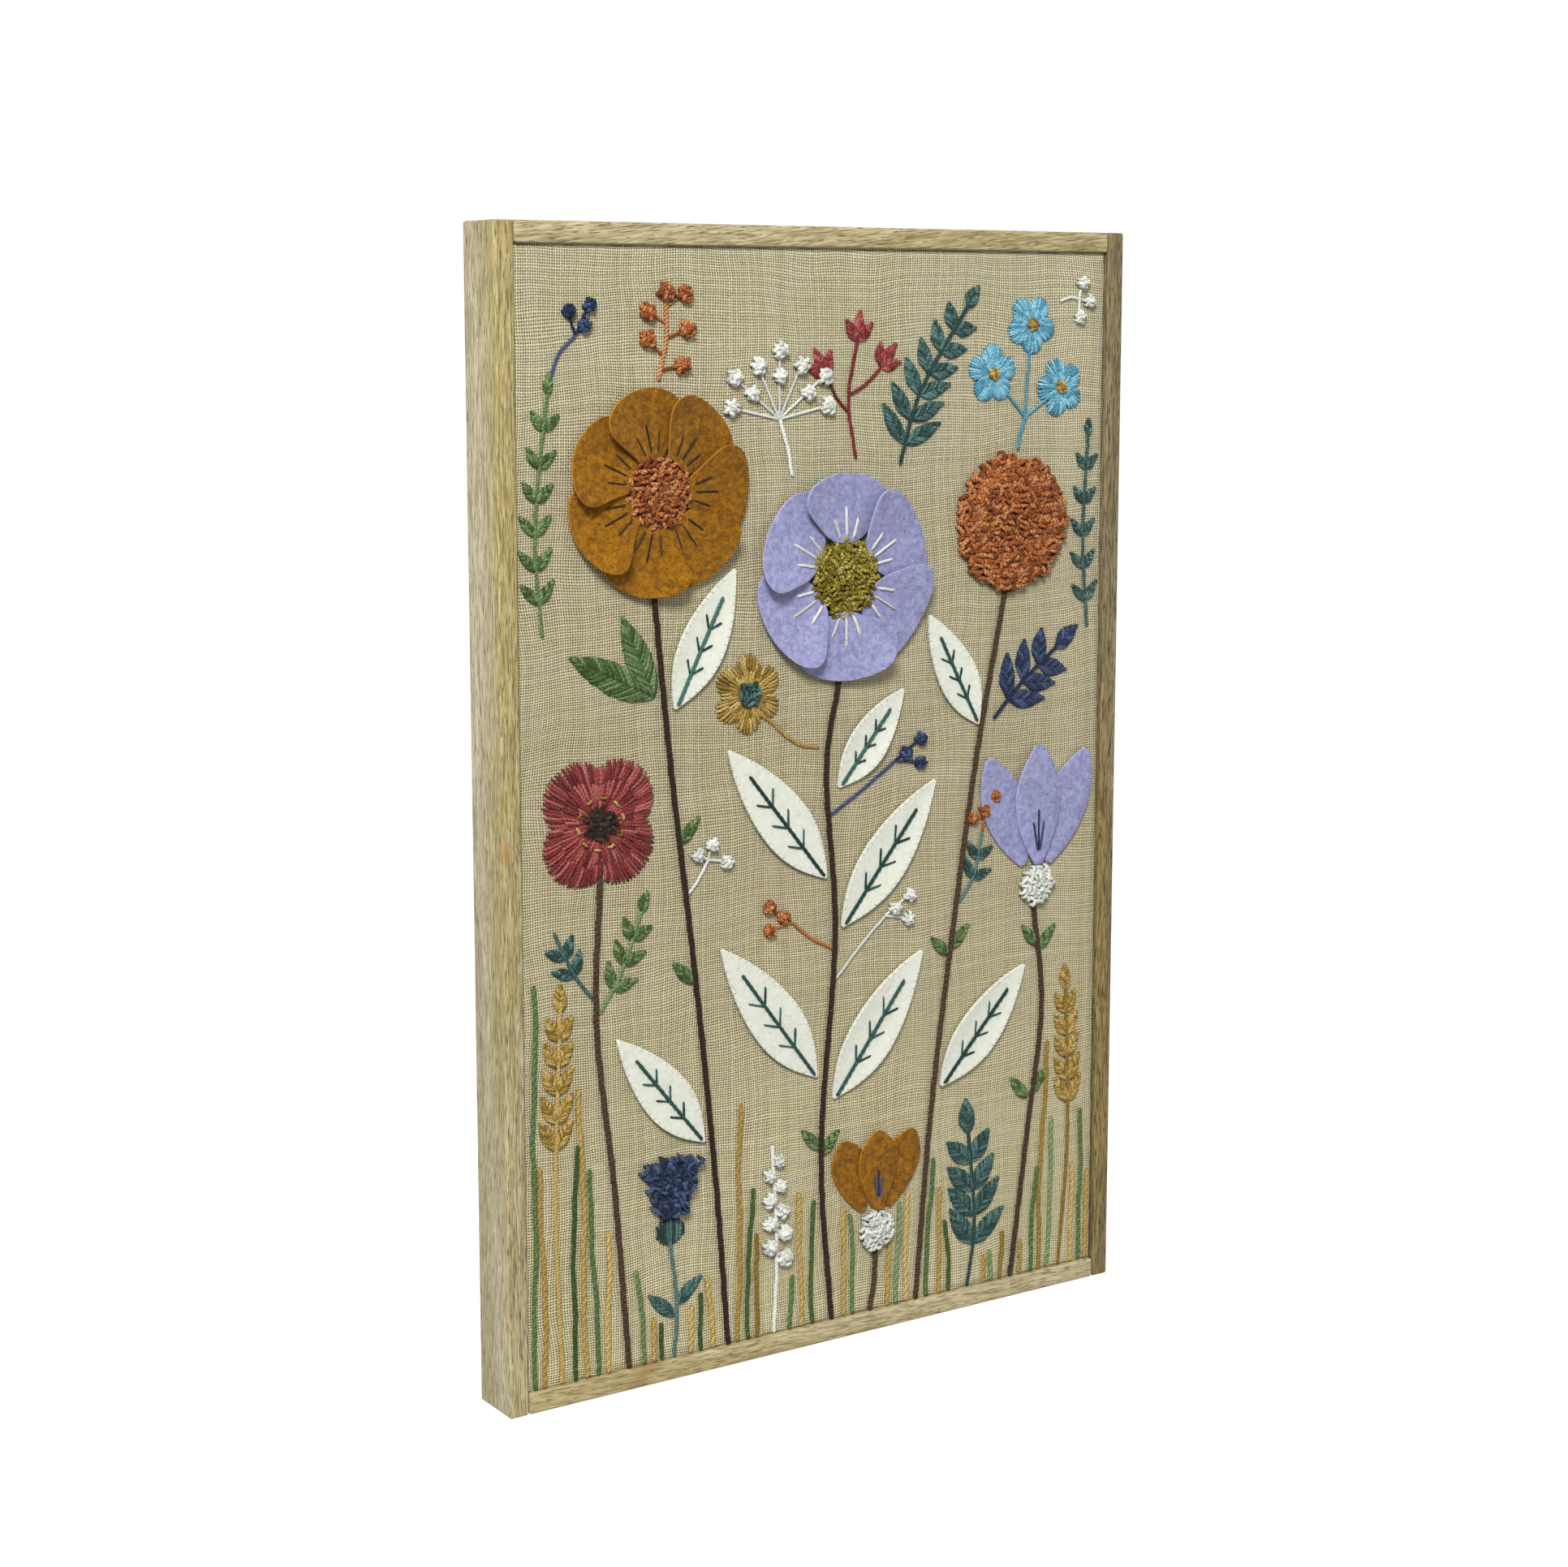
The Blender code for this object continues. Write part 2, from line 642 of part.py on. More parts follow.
Head = namedtuple("Head", "x h turn")
BLUE_FORK = (132, 508)
BLUE_STALK = ((127, 490), (129, 499), BLUE_FORK)
BLUE_HEADS = (Head(109, 532, 90), Head(157, 524, 110), Head(136, 559, 130))
BLUE_RADIUS = 17.0
BUTTERCUP = (-52, 366)
BUTTERCUP_RADIUS = 22.0
BUTTERCUP_STALK = ((-7, 334), (-22, 338), (-42, 354))


def blue_flowers():
    """Three light blue flowers on a forked stalk that rises from behind the marigold."""
    parts = [stalk("blue_yarn", BLUE_STALK, 2)]
    for head in BLUE_HEADS:
        parts.append(twig("blue_yarn", BLUE_FORK, (head.x, head.h), 2.0))
        outline = lobed_outline(BLUE_RADIUS, 5, 0.36, head.turn)
        parts.append(flat_head("blue_yarn", head.x, head.h, outline, 20, head.turn))
    fuse("blue_flowers", parts)


def buttercup():
    """A mustard flower on a stalk that leaves the cosmos's stem."""
    outline = lobed_outline(BUTTERCUP_RADIUS, 6, 0.34, 90)
    head = flat_head("mustard_yarn", *BUTTERCUP, outline, 24, 90)
    fuse("buttercup", [head, stalk("mustard_yarn", BUTTERCUP_STALK, 3, 2.2)])


clear_scene()
frame()
cloth_and_board()
stems()
felt_leaves()
ring_flowers()
cup_flowers()
round_flowers()
fronds()
green_leaves()
umbel()
berries()
white_spike()
thistle()
blue_flowers()
buttercup()
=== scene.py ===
import math
import random

import bmesh
import bpy
import numpy as np
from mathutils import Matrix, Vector
from mathutils.bvhtree import BVHTree


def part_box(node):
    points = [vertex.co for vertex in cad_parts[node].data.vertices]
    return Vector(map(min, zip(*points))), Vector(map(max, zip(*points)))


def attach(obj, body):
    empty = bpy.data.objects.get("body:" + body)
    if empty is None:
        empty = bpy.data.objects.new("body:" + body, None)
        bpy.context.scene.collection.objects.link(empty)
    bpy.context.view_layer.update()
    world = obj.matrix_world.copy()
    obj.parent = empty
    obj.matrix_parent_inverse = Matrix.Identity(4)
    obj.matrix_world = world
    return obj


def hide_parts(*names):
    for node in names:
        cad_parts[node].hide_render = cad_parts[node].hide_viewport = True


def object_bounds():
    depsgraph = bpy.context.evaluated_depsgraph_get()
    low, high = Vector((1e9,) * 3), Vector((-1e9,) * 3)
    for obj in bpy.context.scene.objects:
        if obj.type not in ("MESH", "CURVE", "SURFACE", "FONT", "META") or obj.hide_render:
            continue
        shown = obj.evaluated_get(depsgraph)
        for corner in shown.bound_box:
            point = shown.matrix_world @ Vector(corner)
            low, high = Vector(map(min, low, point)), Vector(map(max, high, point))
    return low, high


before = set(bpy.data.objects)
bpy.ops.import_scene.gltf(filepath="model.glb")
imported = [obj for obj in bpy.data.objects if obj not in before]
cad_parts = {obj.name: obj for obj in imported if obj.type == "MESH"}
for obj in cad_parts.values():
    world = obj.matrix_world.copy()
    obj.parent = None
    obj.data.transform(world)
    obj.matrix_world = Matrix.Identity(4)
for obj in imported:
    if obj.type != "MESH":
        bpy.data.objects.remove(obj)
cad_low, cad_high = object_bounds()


# Camera, light and floor
# The picture stands upright on a pale floor, seen from its left and from a little above its middle.
# A large soft light hangs in front of it to the left, and a weaker one fills from the right.

CAMERA_PLACE = (-0.8363, -1.2401, -0.0372)
CAMERA_YAW = 33.72
CAMERA_PITCH = -7.96
CAMERA_FOCUS_PX = 3400.0
PHOTO_WIDTH_PX = 1932.0
PRINCIPAL_RISE_PX = 96.5
SENSOR_MM = 36.0
FLOOR_DROP = 0.0005
FLOOR_SIZE = 14.0
FLOOR_GLOW = 0.90
ROOM_LIGHT = 0.39


def colour(code):
    """A linear colour with alpha from an sRGB code such as b5562a."""
    parts = [int(code[i:i + 2], 16) / 255 for i in (0, 2, 4)]
    linear = [p / 12.92 if p <= 0.04045 else ((p + 0.055) / 1.055) ** 2.4 for p in parts]
    return (*linear, 1.0)


def new_node(tree, kind, inputs=None, **settings):
    """A shader node with its settings and its inputs, each of which is a value or another output."""
    made = tree.nodes.new(kind)
    for key, value in settings.items():
        setattr(made, key, value)
    for key, value in (inputs or {}).items():
        if isinstance(value, bpy.types.NodeSocket):
            tree.links.new(value, made.inputs[key])
        else:
            made.inputs[key].default_value = value
    return made


def calc(tree, operation, *values):
    """The output of a Math node."""
    return new_node(tree, "ShaderNodeMath", dict(enumerate(values)), operation=operation).outputs[0]


def mix(tree, share, first, second, blend="MIX"):
    """Two colours mixed by a share from 0 to 1."""
    inputs = {0: share, 6: first, 7: second}
    return new_node(tree, "ShaderNodeMix", inputs, data_type="RGBA", blend_type=blend).outputs[2]


def ramp(tree, value, *stops):
    """A colour ramp through stops of (place, colour)."""
    made = new_node(tree, "ShaderNodeValToRGB", {0: value})
    points = made.color_ramp.elements
    while len(points) < len(stops):
        points.new(0.5)
    for point, (place, tint) in zip(points, stops):
        point.position = place
        point.color = tint
    return made.outputs[0]


def noise(tree, vector, scale, detail=2.0, roughness=0.5, distortion=0.0):
    """The value of a Noise texture."""
    inputs = {
        "Vector": vector, "Scale": scale, "Detail": detail, "Roughness": roughness, "Distortion": distortion,
    }
    return new_node(tree, "ShaderNodeTexNoise", inputs).outputs[0]


def mapped(tree, vector, scale=(1, 1, 1), turn=(0, 0, 0), move=(0, 0, 0)):
    """A coordinate scaled, turned and moved."""
    inputs = {"Vector": vector, "Location": move, "Rotation": turn, "Scale": scale}
    return new_node(tree, "ShaderNodeMapping", inputs).outputs[0]


def material(name, roughness, sheen=0.0):
    """A new material with its shader; roughness and sheen are the same all over."""
    made = bpy.data.materials.new(name)
    made.use_nodes = True
    shader = made.node_tree.nodes["Principled BSDF"]
    shader.inputs["Roughness"].default_value = roughness
    shader.inputs["Specular IOR Level"].default_value = 0.25
    if sheen:
        shader.inputs["Sheen Weight"].default_value = sheen
        shader.inputs["Sheen Roughness"].default_value = 0.45
    return made, made.node_tree, shader


def bump(tree, shader, height, strength, distance):
    """Gives a shader relief from a height value; distance is the relief in metres."""
    inputs = {"Height": height, "Strength": strength, "Distance": distance}
    made = new_node(tree, "ShaderNodeBump", inputs)
    tree.links.new(made.outputs[0], shader.inputs["Normal"])


camera_data = bpy.data.cameras.new("camera")
camera_data.lens = CAMERA_FOCUS_PX / PHOTO_WIDTH_PX * SENSOR_MM
camera_data.sensor_width = SENSOR_MM
camera_data.shift_y = -PRINCIPAL_RISE_PX / PHOTO_WIDTH_PX
camera = bpy.data.objects.new("camera", camera_data)
camera.location = CAMERA_PLACE
camera.rotation_euler = (math.radians(90 + CAMERA_PITCH), 0, math.radians(-CAMERA_YAW))
bpy.context.scene.collection.objects.link(camera)
bpy.context.scene.camera = camera
bpy.context.scene.view_settings.view_transform = "Standard"


def soft_light(name, place, target, size, watts):
    """A square soft light that looks at a point."""
    data = bpy.data.lights.new(name, "AREA")
    data.size = size
    data.energy = watts
    lamp = bpy.data.objects.new(name, data)
    lamp.location = place
    lamp.rotation_euler = (Vector(target) - Vector(place)).to_track_quat("-Z", "Y").to_euler()
    bpy.context.scene.collection.objects.link(lamp)


PICTURE_MIDDLE = (0, 0, -0.294)
soft_light("key_light", (-1.73, -2.25, 1.8), PICTURE_MIDDLE, 0.85, 137)
soft_light("fill_light", (1.6, -1.9, 0.2), PICTURE_MIDDLE, 1.8, 8)
soft_light("side_light", (-2.2, 0.1, 0.2), PICTURE_MIDDLE, 1.2, 14)

world = bpy.data.worlds.new("studio")
world.use_nodes = True
backdrop = world.node_tree.nodes["Background"]
backdrop.inputs["Color"].default_value = (1, 1, 1, 1)
seen = new_node(world.node_tree, "ShaderNodeLightPath").outputs["Is Camera Ray"]
strength = calc(world.node_tree, "MULTIPLY_ADD", seen, 1.0 - ROOM_LIGHT, ROOM_LIGHT)
world.node_tree.links.new(strength, backdrop.inputs["Strength"])
bpy.context.scene.world = world

bpy.ops.object.select_all(action="DESELECT")
bpy.ops.mesh.primitive_plane_add(size=FLOOR_SIZE, location=(0, 0, cad_low.z - FLOOR_DROP))
floor = bpy.context.object
floor.name = "floor"
bpy.ops.object.transform_apply(location=True, rotation=True, scale=True)
floor_paint, floor_tree, floor_shader = material("pale_floor", 0.9)
floor_shader.inputs["Base Color"].default_value = (0.22, 0.22, 0.22, 1)
floor_shader.inputs["Emission Color"].default_value = (1, 1, 1, 1)
floor_shader.inputs["Emission Strength"].default_value = FLOOR_GLOW
floor.data.materials.append(floor_paint)
floor.visible_diffuse = False


# Wooden frame
# Two stiles and two rails of mango wood, sanded, thinly oiled and butted at the corners.
# The wood is pale and greyish on its sides, with yellow and brown streaks along its front edges.

EDGE_ROUND = 0.0013
FRAME_PIECES = ("stile_left", "stile_right", "rail_top", "rail_bottom")


def start_box(name, node):
    """A cube as large as a node, at the node's place, with its place in its mesh."""
    low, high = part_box(node)
    bpy.ops.object.select_all(action="DESELECT")
    bpy.ops.mesh.primitive_cube_add(size=1, location=(low + high) / 2)
    made = bpy.context.object
    made.name = name
    made.scale = high - low
    bpy.ops.object.transform_apply(location=True, rotation=True, scale=True)
    return made


def add_piece(piece, paint, slot, *nodes):
    """Paints a piece, makes it ride with the picture and stand for its CAD nodes; its slot is not used."""
    piece.data.materials.clear()
    piece.data.materials.append(paint)
    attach(piece, "root")
    if nodes:
        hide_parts(*nodes)
    return piece


def apply_modifiers(piece):
    bpy.ops.object.select_all(action="DESELECT")
    bpy.context.view_layer.objects.active = piece
    piece.select_set(True)
    for modifier in list(piece.modifiers):
        bpy.ops.object.modifier_apply(modifier=modifier.name)


def wood(name, along, pale, tan, streak, dark, offset, slope, edge):
    """Wood with its grain along Z or X: nested growth lines, streaks, and short dark pores."""
    made, tree, shader = material(name, 0.6)
    place = new_node(tree, "ShaderNodeTexCoord").outputs["Object"]

    def stretched(share):
        scale = (1, 1, share) if along == "Z" else (share, 1, 1)
        leaning = mapped(tree, place, turn=(0, slope, 0))
        return mapped(tree, leaning, scale, move=offset)

    broad = noise(tree, stretched(0.05), 40, 3, 0.6, 0.5)
    lines = noise(tree, stretched(0.05), 1250, 4, 0.65, 0.3)
    pores = noise(tree, stretched(0.07), 1900, 2, 0.5)
    growth = noise(tree, stretched(0.12), 30, 1, 0.4, 0.4)
    rings = calc(tree, "COSINE", calc(tree, "MULTIPLY", growth, 95.0))
    patches = noise(tree, stretched(0.4), 10, 3, 0.6, 0.4)
    base = ramp(tree, broad, (0.32, pale), (0.50, tan), (0.66, streak), (0.78, tan))
    base = mix(tree, ramp(tree, patches, (0.48, BLACK), (0.72, grey(0.5))), base, streak)
    base = mix(tree, ramp(tree, patches, (0.30, grey(0.5)), (0.46, BLACK)), base, pale)
    depth = new_node(tree, "ShaderNodeSeparateXYZ", {0: place}).outputs[1]
    forward = calc(tree, "DIVIDE", calc(tree, "SUBTRACT", FACE_TINT_BACK, depth), FACE_TINT_DEPTH)
    forward = calc(tree, "MULTIPLY", forward, calc(tree, "MULTIPLY", lines, 1.6))
    base = mix(tree, ramp(tree, forward, (0.0, BLACK), (1.0, grey(edge))), base, FACE_TINT)
    base = mix(tree, calc(tree, "MULTIPLY_ADD", rings, 0.09, 0.09), base, dark)
    base = mix(tree, ramp(tree, lines, (0.48, BLACK), (0.62, grey(0.6))), base, dark)
    base = mix(tree, ramp(tree, lines, (0.36, grey(0.45)), (0.48, BLACK)), base, pale)
    base = mix(tree, ramp(tree, pores, (0.56, BLACK), (0.63, grey(0.9))), base, dark)
    if along == "Z":
        eye = new_node(tree, "ShaderNodeVectorMath", {0: place, 1: KNOT_PLACE}, operation="SUBTRACT").outputs[0]
        eye = mapped(tree, eye, (1, 1, 0.6))
        far = new_node(tree, "ShaderNodeVectorMath", {0: eye}, operation="LENGTH").outputs["Value"]
        base = mix(tree, ramp(tree, calc(tree, "DIVIDE", far, 0.006), (0.2, grey(0.4)), (0.8, BLACK)), base, KNOT_TINT)
    else:
        split = new_node(tree, "ShaderNodeSeparateXYZ", {0: place})
        slant = calc(tree, "MULTIPLY_ADD", split.outputs[2], -0.9, split.outputs[0])
        band = calc(tree, "ABSOLUTE", calc(tree, "SUBTRACT", slant, STAIN_PLACE))
        ragged = calc(tree, "MULTIPLY_ADD", calc(tree, "SUBTRACT", broad, 0.5), 0.02, band)
        base = mix(tree, ramp(tree, calc(tree, "DIVIDE", ragged, 0.014), (0.2, grey(0.6)), (1.0, BLACK)), base, STAIN_TINT)
    tree.links.new(base, shader.inputs["Base Color"])
    relief = calc(tree, "SUBTRACT", lines, calc(tree, "MULTIPLY", pores, 0.8))
    bump(tree, shader, relief, 0.35, 0.0004)
    return made


def grey(level):
    return (level, level, level, 1)


BLACK = grey(0)
KNOT_PLACE = (-0.199, -0.0325, -0.302)
KNOT_TINT = colour("a8692e")
FACE_TINT_BACK = -0.030
FACE_TINT_DEPTH = 0.003
FACE_TINT = colour("ae9850")
STAIN_PLACE = 0.413
STAIN_TINT = colour("8a6c3e")
WOODS = {
    "stile_left": ("Z", "cec5a9", "b5aa87", "a29662", "625537", (0.0, 0.3, 0.1), 0.01, 0.6),
    "stile_right": ("Z", "a09070", "70634a", "917c44", "2e2618", (0.4, 0.0, 0.7), -0.01, 0.15),
    "rail_top": ("X", "cfc5a2", "b6a982", "a6965f", "6a5836", (0.9, 0.2, 0.0), 0.10, 0.0),
    "rail_bottom": ("X", "ccc29e", "bbad84", "ab9a62", "74623f", (0.2, 0.8, 0.5), -0.04, 0.0),
}

for node in FRAME_PIECES:
    bar = start_box("wood_" + node, node)
    edges = bar.modifiers.new("edges", "BEVEL")
    edges.width = EDGE_ROUND
    edges.segments = 4
    apply_modifiers(bar)
    bpy.ops.object.shade_smooth_by_angle(angle=math.radians(40))
    along, pale, tan, streak, dark, offset, slope, edge = WOODS[node]
    paint = wood("mango_" + node, along, *[colour(t) for t in (pale, tan, streak, dark)], offset, slope, edge)
    add_piece(bar, paint, "frame_wood", node)


# Board
# A thin pressed board stiffens the cloth. It shows only from behind, brown and faintly mottled.

made, tree, shader = material("pressed_board", 0.75)
place = new_node(tree, "ShaderNodeTexCoord").outputs["Object"]
fibres = noise(tree, place, 900, 3, 0.7)
clouds = noise(tree, place, 14, 3, 0.5)
base = ramp(tree, fibres, (0.3, colour("8a6a48")), (0.7, colour("c09b70")))
base = mix(tree, calc(tree, "MULTIPLY", clouds, 0.5), base, colour("a07c55"))
tree.links.new(base, shader.inputs["Base Color"])
bump(tree, shader, fibres, 0.3, 0.0002)
for material_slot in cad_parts["board"].material_slots:
    material_slot.material = made


# Jute cloth
# Coarse plain weave of about 18 threads an inch, stretched over the board, turned round its edges
# and glued down behind in a lip. The threads are uneven and wander, and the holes between them are
# painted dark brown as shade over the board.

THREAD_PITCH = 0.00142
CLOTH_WALL = 0.0009
CLOTH_TURN = 0.0007
CLOTH_LIP = 0.016
CLOTH_CELL = 0.0042
CLOTH_WAVE = 0.00022

cloth_low, cloth_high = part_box("cloth")
cloth_centre = (cloth_low + cloth_high) / 2
half_width = (cloth_high.x - cloth_low.x) / 2
half_height = (cloth_high.z - cloth_low.z) / 2
cloth_depth = cloth_high.y - cloth_low.y
columns = round(2 * half_width / CLOTH_CELL)
rows = round(2 * half_height / CLOTH_CELL)
bpy.ops.object.select_all(action="DESELECT")
bpy.ops.mesh.primitive_grid_add(
    x_subdivisions=columns, y_subdivisions=rows, size=1, rotation=(math.pi / 2, 0, 0),
    location=(cloth_centre.x, cloth_low.y, cloth_centre.z),
)
cloth = bpy.context.object
cloth.name = "jute_cloth"
cloth.scale = (2 * (half_width - CLOTH_TURN), 2 * (half_height - CLOTH_TURN), 1)
bpy.ops.object.transform_apply(location=True, rotation=True, scale=True)


def turn_back(back, out_x, out_z):
    """Extrudes the selected rim by back, then brings it to these half-sizes."""
    bpy.ops.mesh.extrude_edges_move(TRANSFORM_OT_translate={"value": (0, back, 0)})
    bpy.ops.object.mode_set(mode="OBJECT")
    chosen = [v for v in cloth.data.vertices if v.select]
    reach_x = max(abs(v.co.x - cloth_centre.x) for v in chosen)
    reach_z = max(abs(v.co.z - cloth_centre.z) for v in chosen)
    for v in chosen:
        v.co.x = cloth_centre.x + (v.co.x - cloth_centre.x) * out_x / reach_x
        v.co.z = cloth_centre.z + (v.co.z - cloth_centre.z) * out_z / reach_z
    bpy.ops.object.mode_set(mode="EDIT")


bpy.ops.object.mode_set(mode="EDIT")
bpy.ops.mesh.select_mode(type="EDGE")
bpy.ops.mesh.select_all(action="DESELECT")
bpy.ops.mesh.select_non_manifold()
turn_back(CLOTH_TURN, half_width, half_height)
turn_back(cloth_depth - 2 * CLOTH_TURN, half_width, half_height)
turn_back(CLOTH_TURN, half_width - CLOTH_TURN, half_height - CLOTH_TURN)
turn_back(0, half_width - CLOTH_LIP / 2, half_height - CLOTH_LIP / 2)
turn_back(0, half_width - CLOTH_LIP, half_height - CLOTH_LIP)
bpy.ops.mesh.select_all(action="SELECT")
bpy.ops.mesh.normals_make_consistent(inside=False)
bpy.ops.object.mode_set(mode="OBJECT")

wander = random.Random(7)
phases = [wander.uniform(0, 6.28) for _ in range(6)]
for v in cloth.data.vertices:
    if v.co.y < cloth_low.y + 1e-5:
        inward = min(1.0, (half_width - abs(v.co.x)) / 0.02, (half_height - abs(v.co.z - cloth_centre.z)) / 0.02)
        wave = math.sin(v.co.x * 71 + phases[0]) * math.sin(v.co.z * 43 + phases[1])
        wave += 0.6 * math.sin(v.co.x * 23 + v.co.z * 31 + phases[2])
        wave += 0.4 * math.sin(v.co.x * 140 + phases[3]) * math.sin(v.co.z * 160 + phases[4])
        v.co.y += CLOTH_WAVE * inward * (1 - 0.5 * wave) * 0.6

thick = cloth.modifiers.new("wall", "SOLIDIFY")
thick.thickness = CLOTH_WALL
thick.offset = -1
apply_modifiers(cloth)
bpy.ops.object.shade_smooth_by_angle(angle=math.radians(50))

# The weave runs on over the turned edges: U and V are the flat cloth's own width and length
flat_map = cloth.data.uv_layers.new(name="UVMap") if not cloth.data.uv_layers else cloth.data.uv_layers[0]
for face in cloth.data.polygons:
    normal = face.normal
    middle = face.center - cloth_centre
    for index in face.loop_indices:
        spot = cloth.data.vertices[cloth.data.loops[index].vertex_index].co - cloth_centre
        u = spot.x
        v = spot.z
        back = spot.y + cloth_depth / 2
        if abs(middle.x) / half_width > abs(middle.z) / half_height:
            past = back + half_width - abs(spot.x)
            u = math.copysign(half_width + past, middle.x) if abs(normal.x) > 0.5 or middle.y > 0 else u
        else:
            past = back + half_height - abs(spot.z)
            v = math.copysign(half_height + past, middle.z) if abs(normal.z) > 0.5 or middle.y > 0 else v
        flat_map.data[index].uv = (u, v)


def weave(name, pitch):
    """Plain weave with wandering, uneven threads, painted shade where they pass under each other, and holes at their
    crossings' corners painted dark as shade.
    """
    made, tree, shader = material(name, 0.95, 0.15)
    uv = new_node(tree, "ShaderNodeTexCoord").outputs["UV"]
    split = new_node(tree, "ShaderNodeSeparateXYZ", {0: uv})

    def thread_place(own, seed):
        """How many threads across this point is, with the slow drift and the small shake of each thread."""
        drift = noise(tree, mapped(tree, uv, move=(seed, seed, 0)), 13, 2, 0.4)
        shake = noise(tree, mapped(tree, uv, move=(seed + 3, seed, 0)), 170, 1, 0.5)
        shift = calc(tree, "MULTIPLY", calc(tree, "SUBTRACT", drift, 0.5), 11.0)
        shift = calc(tree, "ADD", shift, calc(tree, "MULTIPLY", calc(tree, "SUBTRACT", shake, 0.5), 0.30))
        return calc(tree, "ADD", calc(tree, "DIVIDE", own, pitch), shift)

    across = thread_place(split.outputs[0], 0.0)
    along = thread_place(split.outputs[1], 9.0)
    warp = calc(tree, "FLOOR", across)
    weft = calc(tree, "FLOOR", along)
    in_warp = calc(tree, "SUBTRACT", calc(tree, "FRACT", across), 0.5)
    in_weft = calc(tree, "SUBTRACT", calc(tree, "FRACT", along), 0.5)

    def thread_tone(index, seed):
        vector = new_node(tree, "ShaderNodeCombineXYZ", {0: index, 1: seed})
        return new_node(tree, "ShaderNodeTexWhiteNoise", {"Vector": vector.outputs[0]}, noise_dimensions="3D").outputs[0]

    warp_tone = thread_tone(warp, 1.5)
    weft_tone = thread_tone(weft, 7.5)

    def body(inside, tone, slub_scale):
        """The round of a thread across its width, from 1 at its middle to 0 at its edge."""
        slub = noise(tree, mapped(tree, uv, slub_scale), 1, 3, 0.6)
        width = calc(tree, "ADD", 0.185, calc(tree, "MULTIPLY", tone, 0.04))
        width = calc(tree, "ADD", width, calc(tree, "MULTIPLY", slub, 0.30))
        share = calc(tree, "DIVIDE", inside, width)
        return calc(tree, "SUBTRACT", 1.0, calc(tree, "MULTIPLY", share, share))

    warp_body = body(in_warp, warp_tone, (700, 150, 1))
    weft_body = body(in_weft, weft_tone, (120, 700, 1))
    odd = calc(tree, "MODULO", calc(tree, "ABSOLUTE", calc(tree, "ADD", warp, weft)), 2.0)
    side = calc(tree, "SUBTRACT", calc(tree, "MULTIPLY", odd, 2.0), 1.0)
    rise_warp = calc(tree, "MULTIPLY", side, calc(tree, "COSINE", calc(tree, "MULTIPLY", in_weft, math.pi)))
    rise_weft = calc(tree, "MULTIPLY", side, calc(tree, "COSINE", calc(tree, "MULTIPLY", in_warp, -math.pi)))
    warp_top = calc(tree, "ADD", warp_body, calc(tree, "MULTIPLY", rise_warp, 0.55))
    weft_top = calc(tree, "SUBTRACT", weft_body, calc(tree, "MULTIPLY", rise_weft, 0.55))
    warp_top = calc(tree, "MULTIPLY", warp_top, calc(tree, "GREATER_THAN", warp_body, 0.0))
    weft_top = calc(tree, "MULTIPLY", weft_top, calc(tree, "GREATER_THAN", weft_body, 0.0))
    height = calc(tree, "MAXIMUM", warp_top, weft_top)
    solid = calc(tree, "MAXIMUM", warp_body, weft_body)
    warp_over = calc(tree, "GREATER_THAN", warp_top, weft_top)
    tone = new_node(tree, "ShaderNodeMix", {0: warp_over, 2: weft_tone, 3: warp_tone}).outputs[0]
    fibre_warp = noise(tree, mapped(tree, uv, (9000, 1500, 1)), 1, 2, 0.6)
    fibre_weft = noise(tree, mapped(tree, uv, (1500, 9000, 1)), 1, 2, 0.6)
    fibre = new_node(tree, "ShaderNodeMix", {0: warp_over, 2: fibre_weft, 3: fibre_warp}).outputs[0]
    tint = calc(tree, "ADD", calc(tree, "MULTIPLY", tone, 0.14), calc(tree, "MULTIPLY", fibre, 0.86))
    jute = ramp(tree, tint, (0.28, colour("a89e75")), (0.50, colour("d6cda6")), (0.72, colour("f8f3db")))
    clouds = noise(tree, uv, 7, 2, 0.5)
    jute = mix(tree, calc(tree, "MULTIPLY", clouds, 0.3), jute, colour("c2b88f"))
    # Painted shade by height: the cloth is darkened most at its middle, less at its top, and hardly at all at its
    # bottom.
    low_down = calc(tree, "MULTIPLY_ADD", split.outputs[1], -1.6, 0.5)
    painted_shade_by_height = ramp(tree, low_down, (0.0, colour("ebebe9")), (0.5, colour("e4e0db")), (1.0, colour("fffdf2")))
    jute = mix(tree, 1.0, jute, painted_shade_by_height, "MULTIPLY")
    # Painted shade: the threads are darkened towards their edges and where they pass under each other.
    shade = ramp(tree, height, (0.0, grey(0.1)), (0.8, grey(1)))
    jute = mix(tree, shade, colour("6f6340"), jute)
    # Painted shade: the holes between the threads are painted near-black brown, the board behind them in shadow.
    hole_shade = ramp(tree, solid, (0.10, grey(1)), (0.42, BLACK))
    tree.links.new(mix(tree, hole_shade, jute, colour("2a2010")), shader.inputs["Base Color"])
    bump(tree, shader, calc(tree, "ADD", height, calc(tree, "MULTIPLY", fibre, 0.3)), 0.7, 0.0005)
    return made


add_piece(cloth, weave("jute_weave", THREAD_PITCH), "hessian", "cloth")


# Felt leaves
# Off-white wool felt, die cut, held by a stitched rib of green yarn along the middle and by tiny
# whip stitches round the rim. The pile of the felt is matted, and its cut edges are a little soft.

MM = 0.001
CLOTH_FRONT = cloth_low.y
FRAME_FOOT = cad_low.z
FELT_EDGE = 0.00035
HAIR_WIDTH = 0.0001


def spot(x, h, out=0.0):
    """A point x and h millimetres from the foot of the frame's middle, out in front of the cloth."""
    return Vector((x * MM, CLOTH_FRONT - out * MM, FRAME_FOOT + h * MM))


def turned(x, h, angle, along, across=0.0):
    """The point along and across from (x, h), with along at this angle in degrees from +x."""
    a = math.radians(angle)
    return x + along * math.cos(a) - across * math.sin(a), h + along * math.sin(a) + across * math.cos(a)


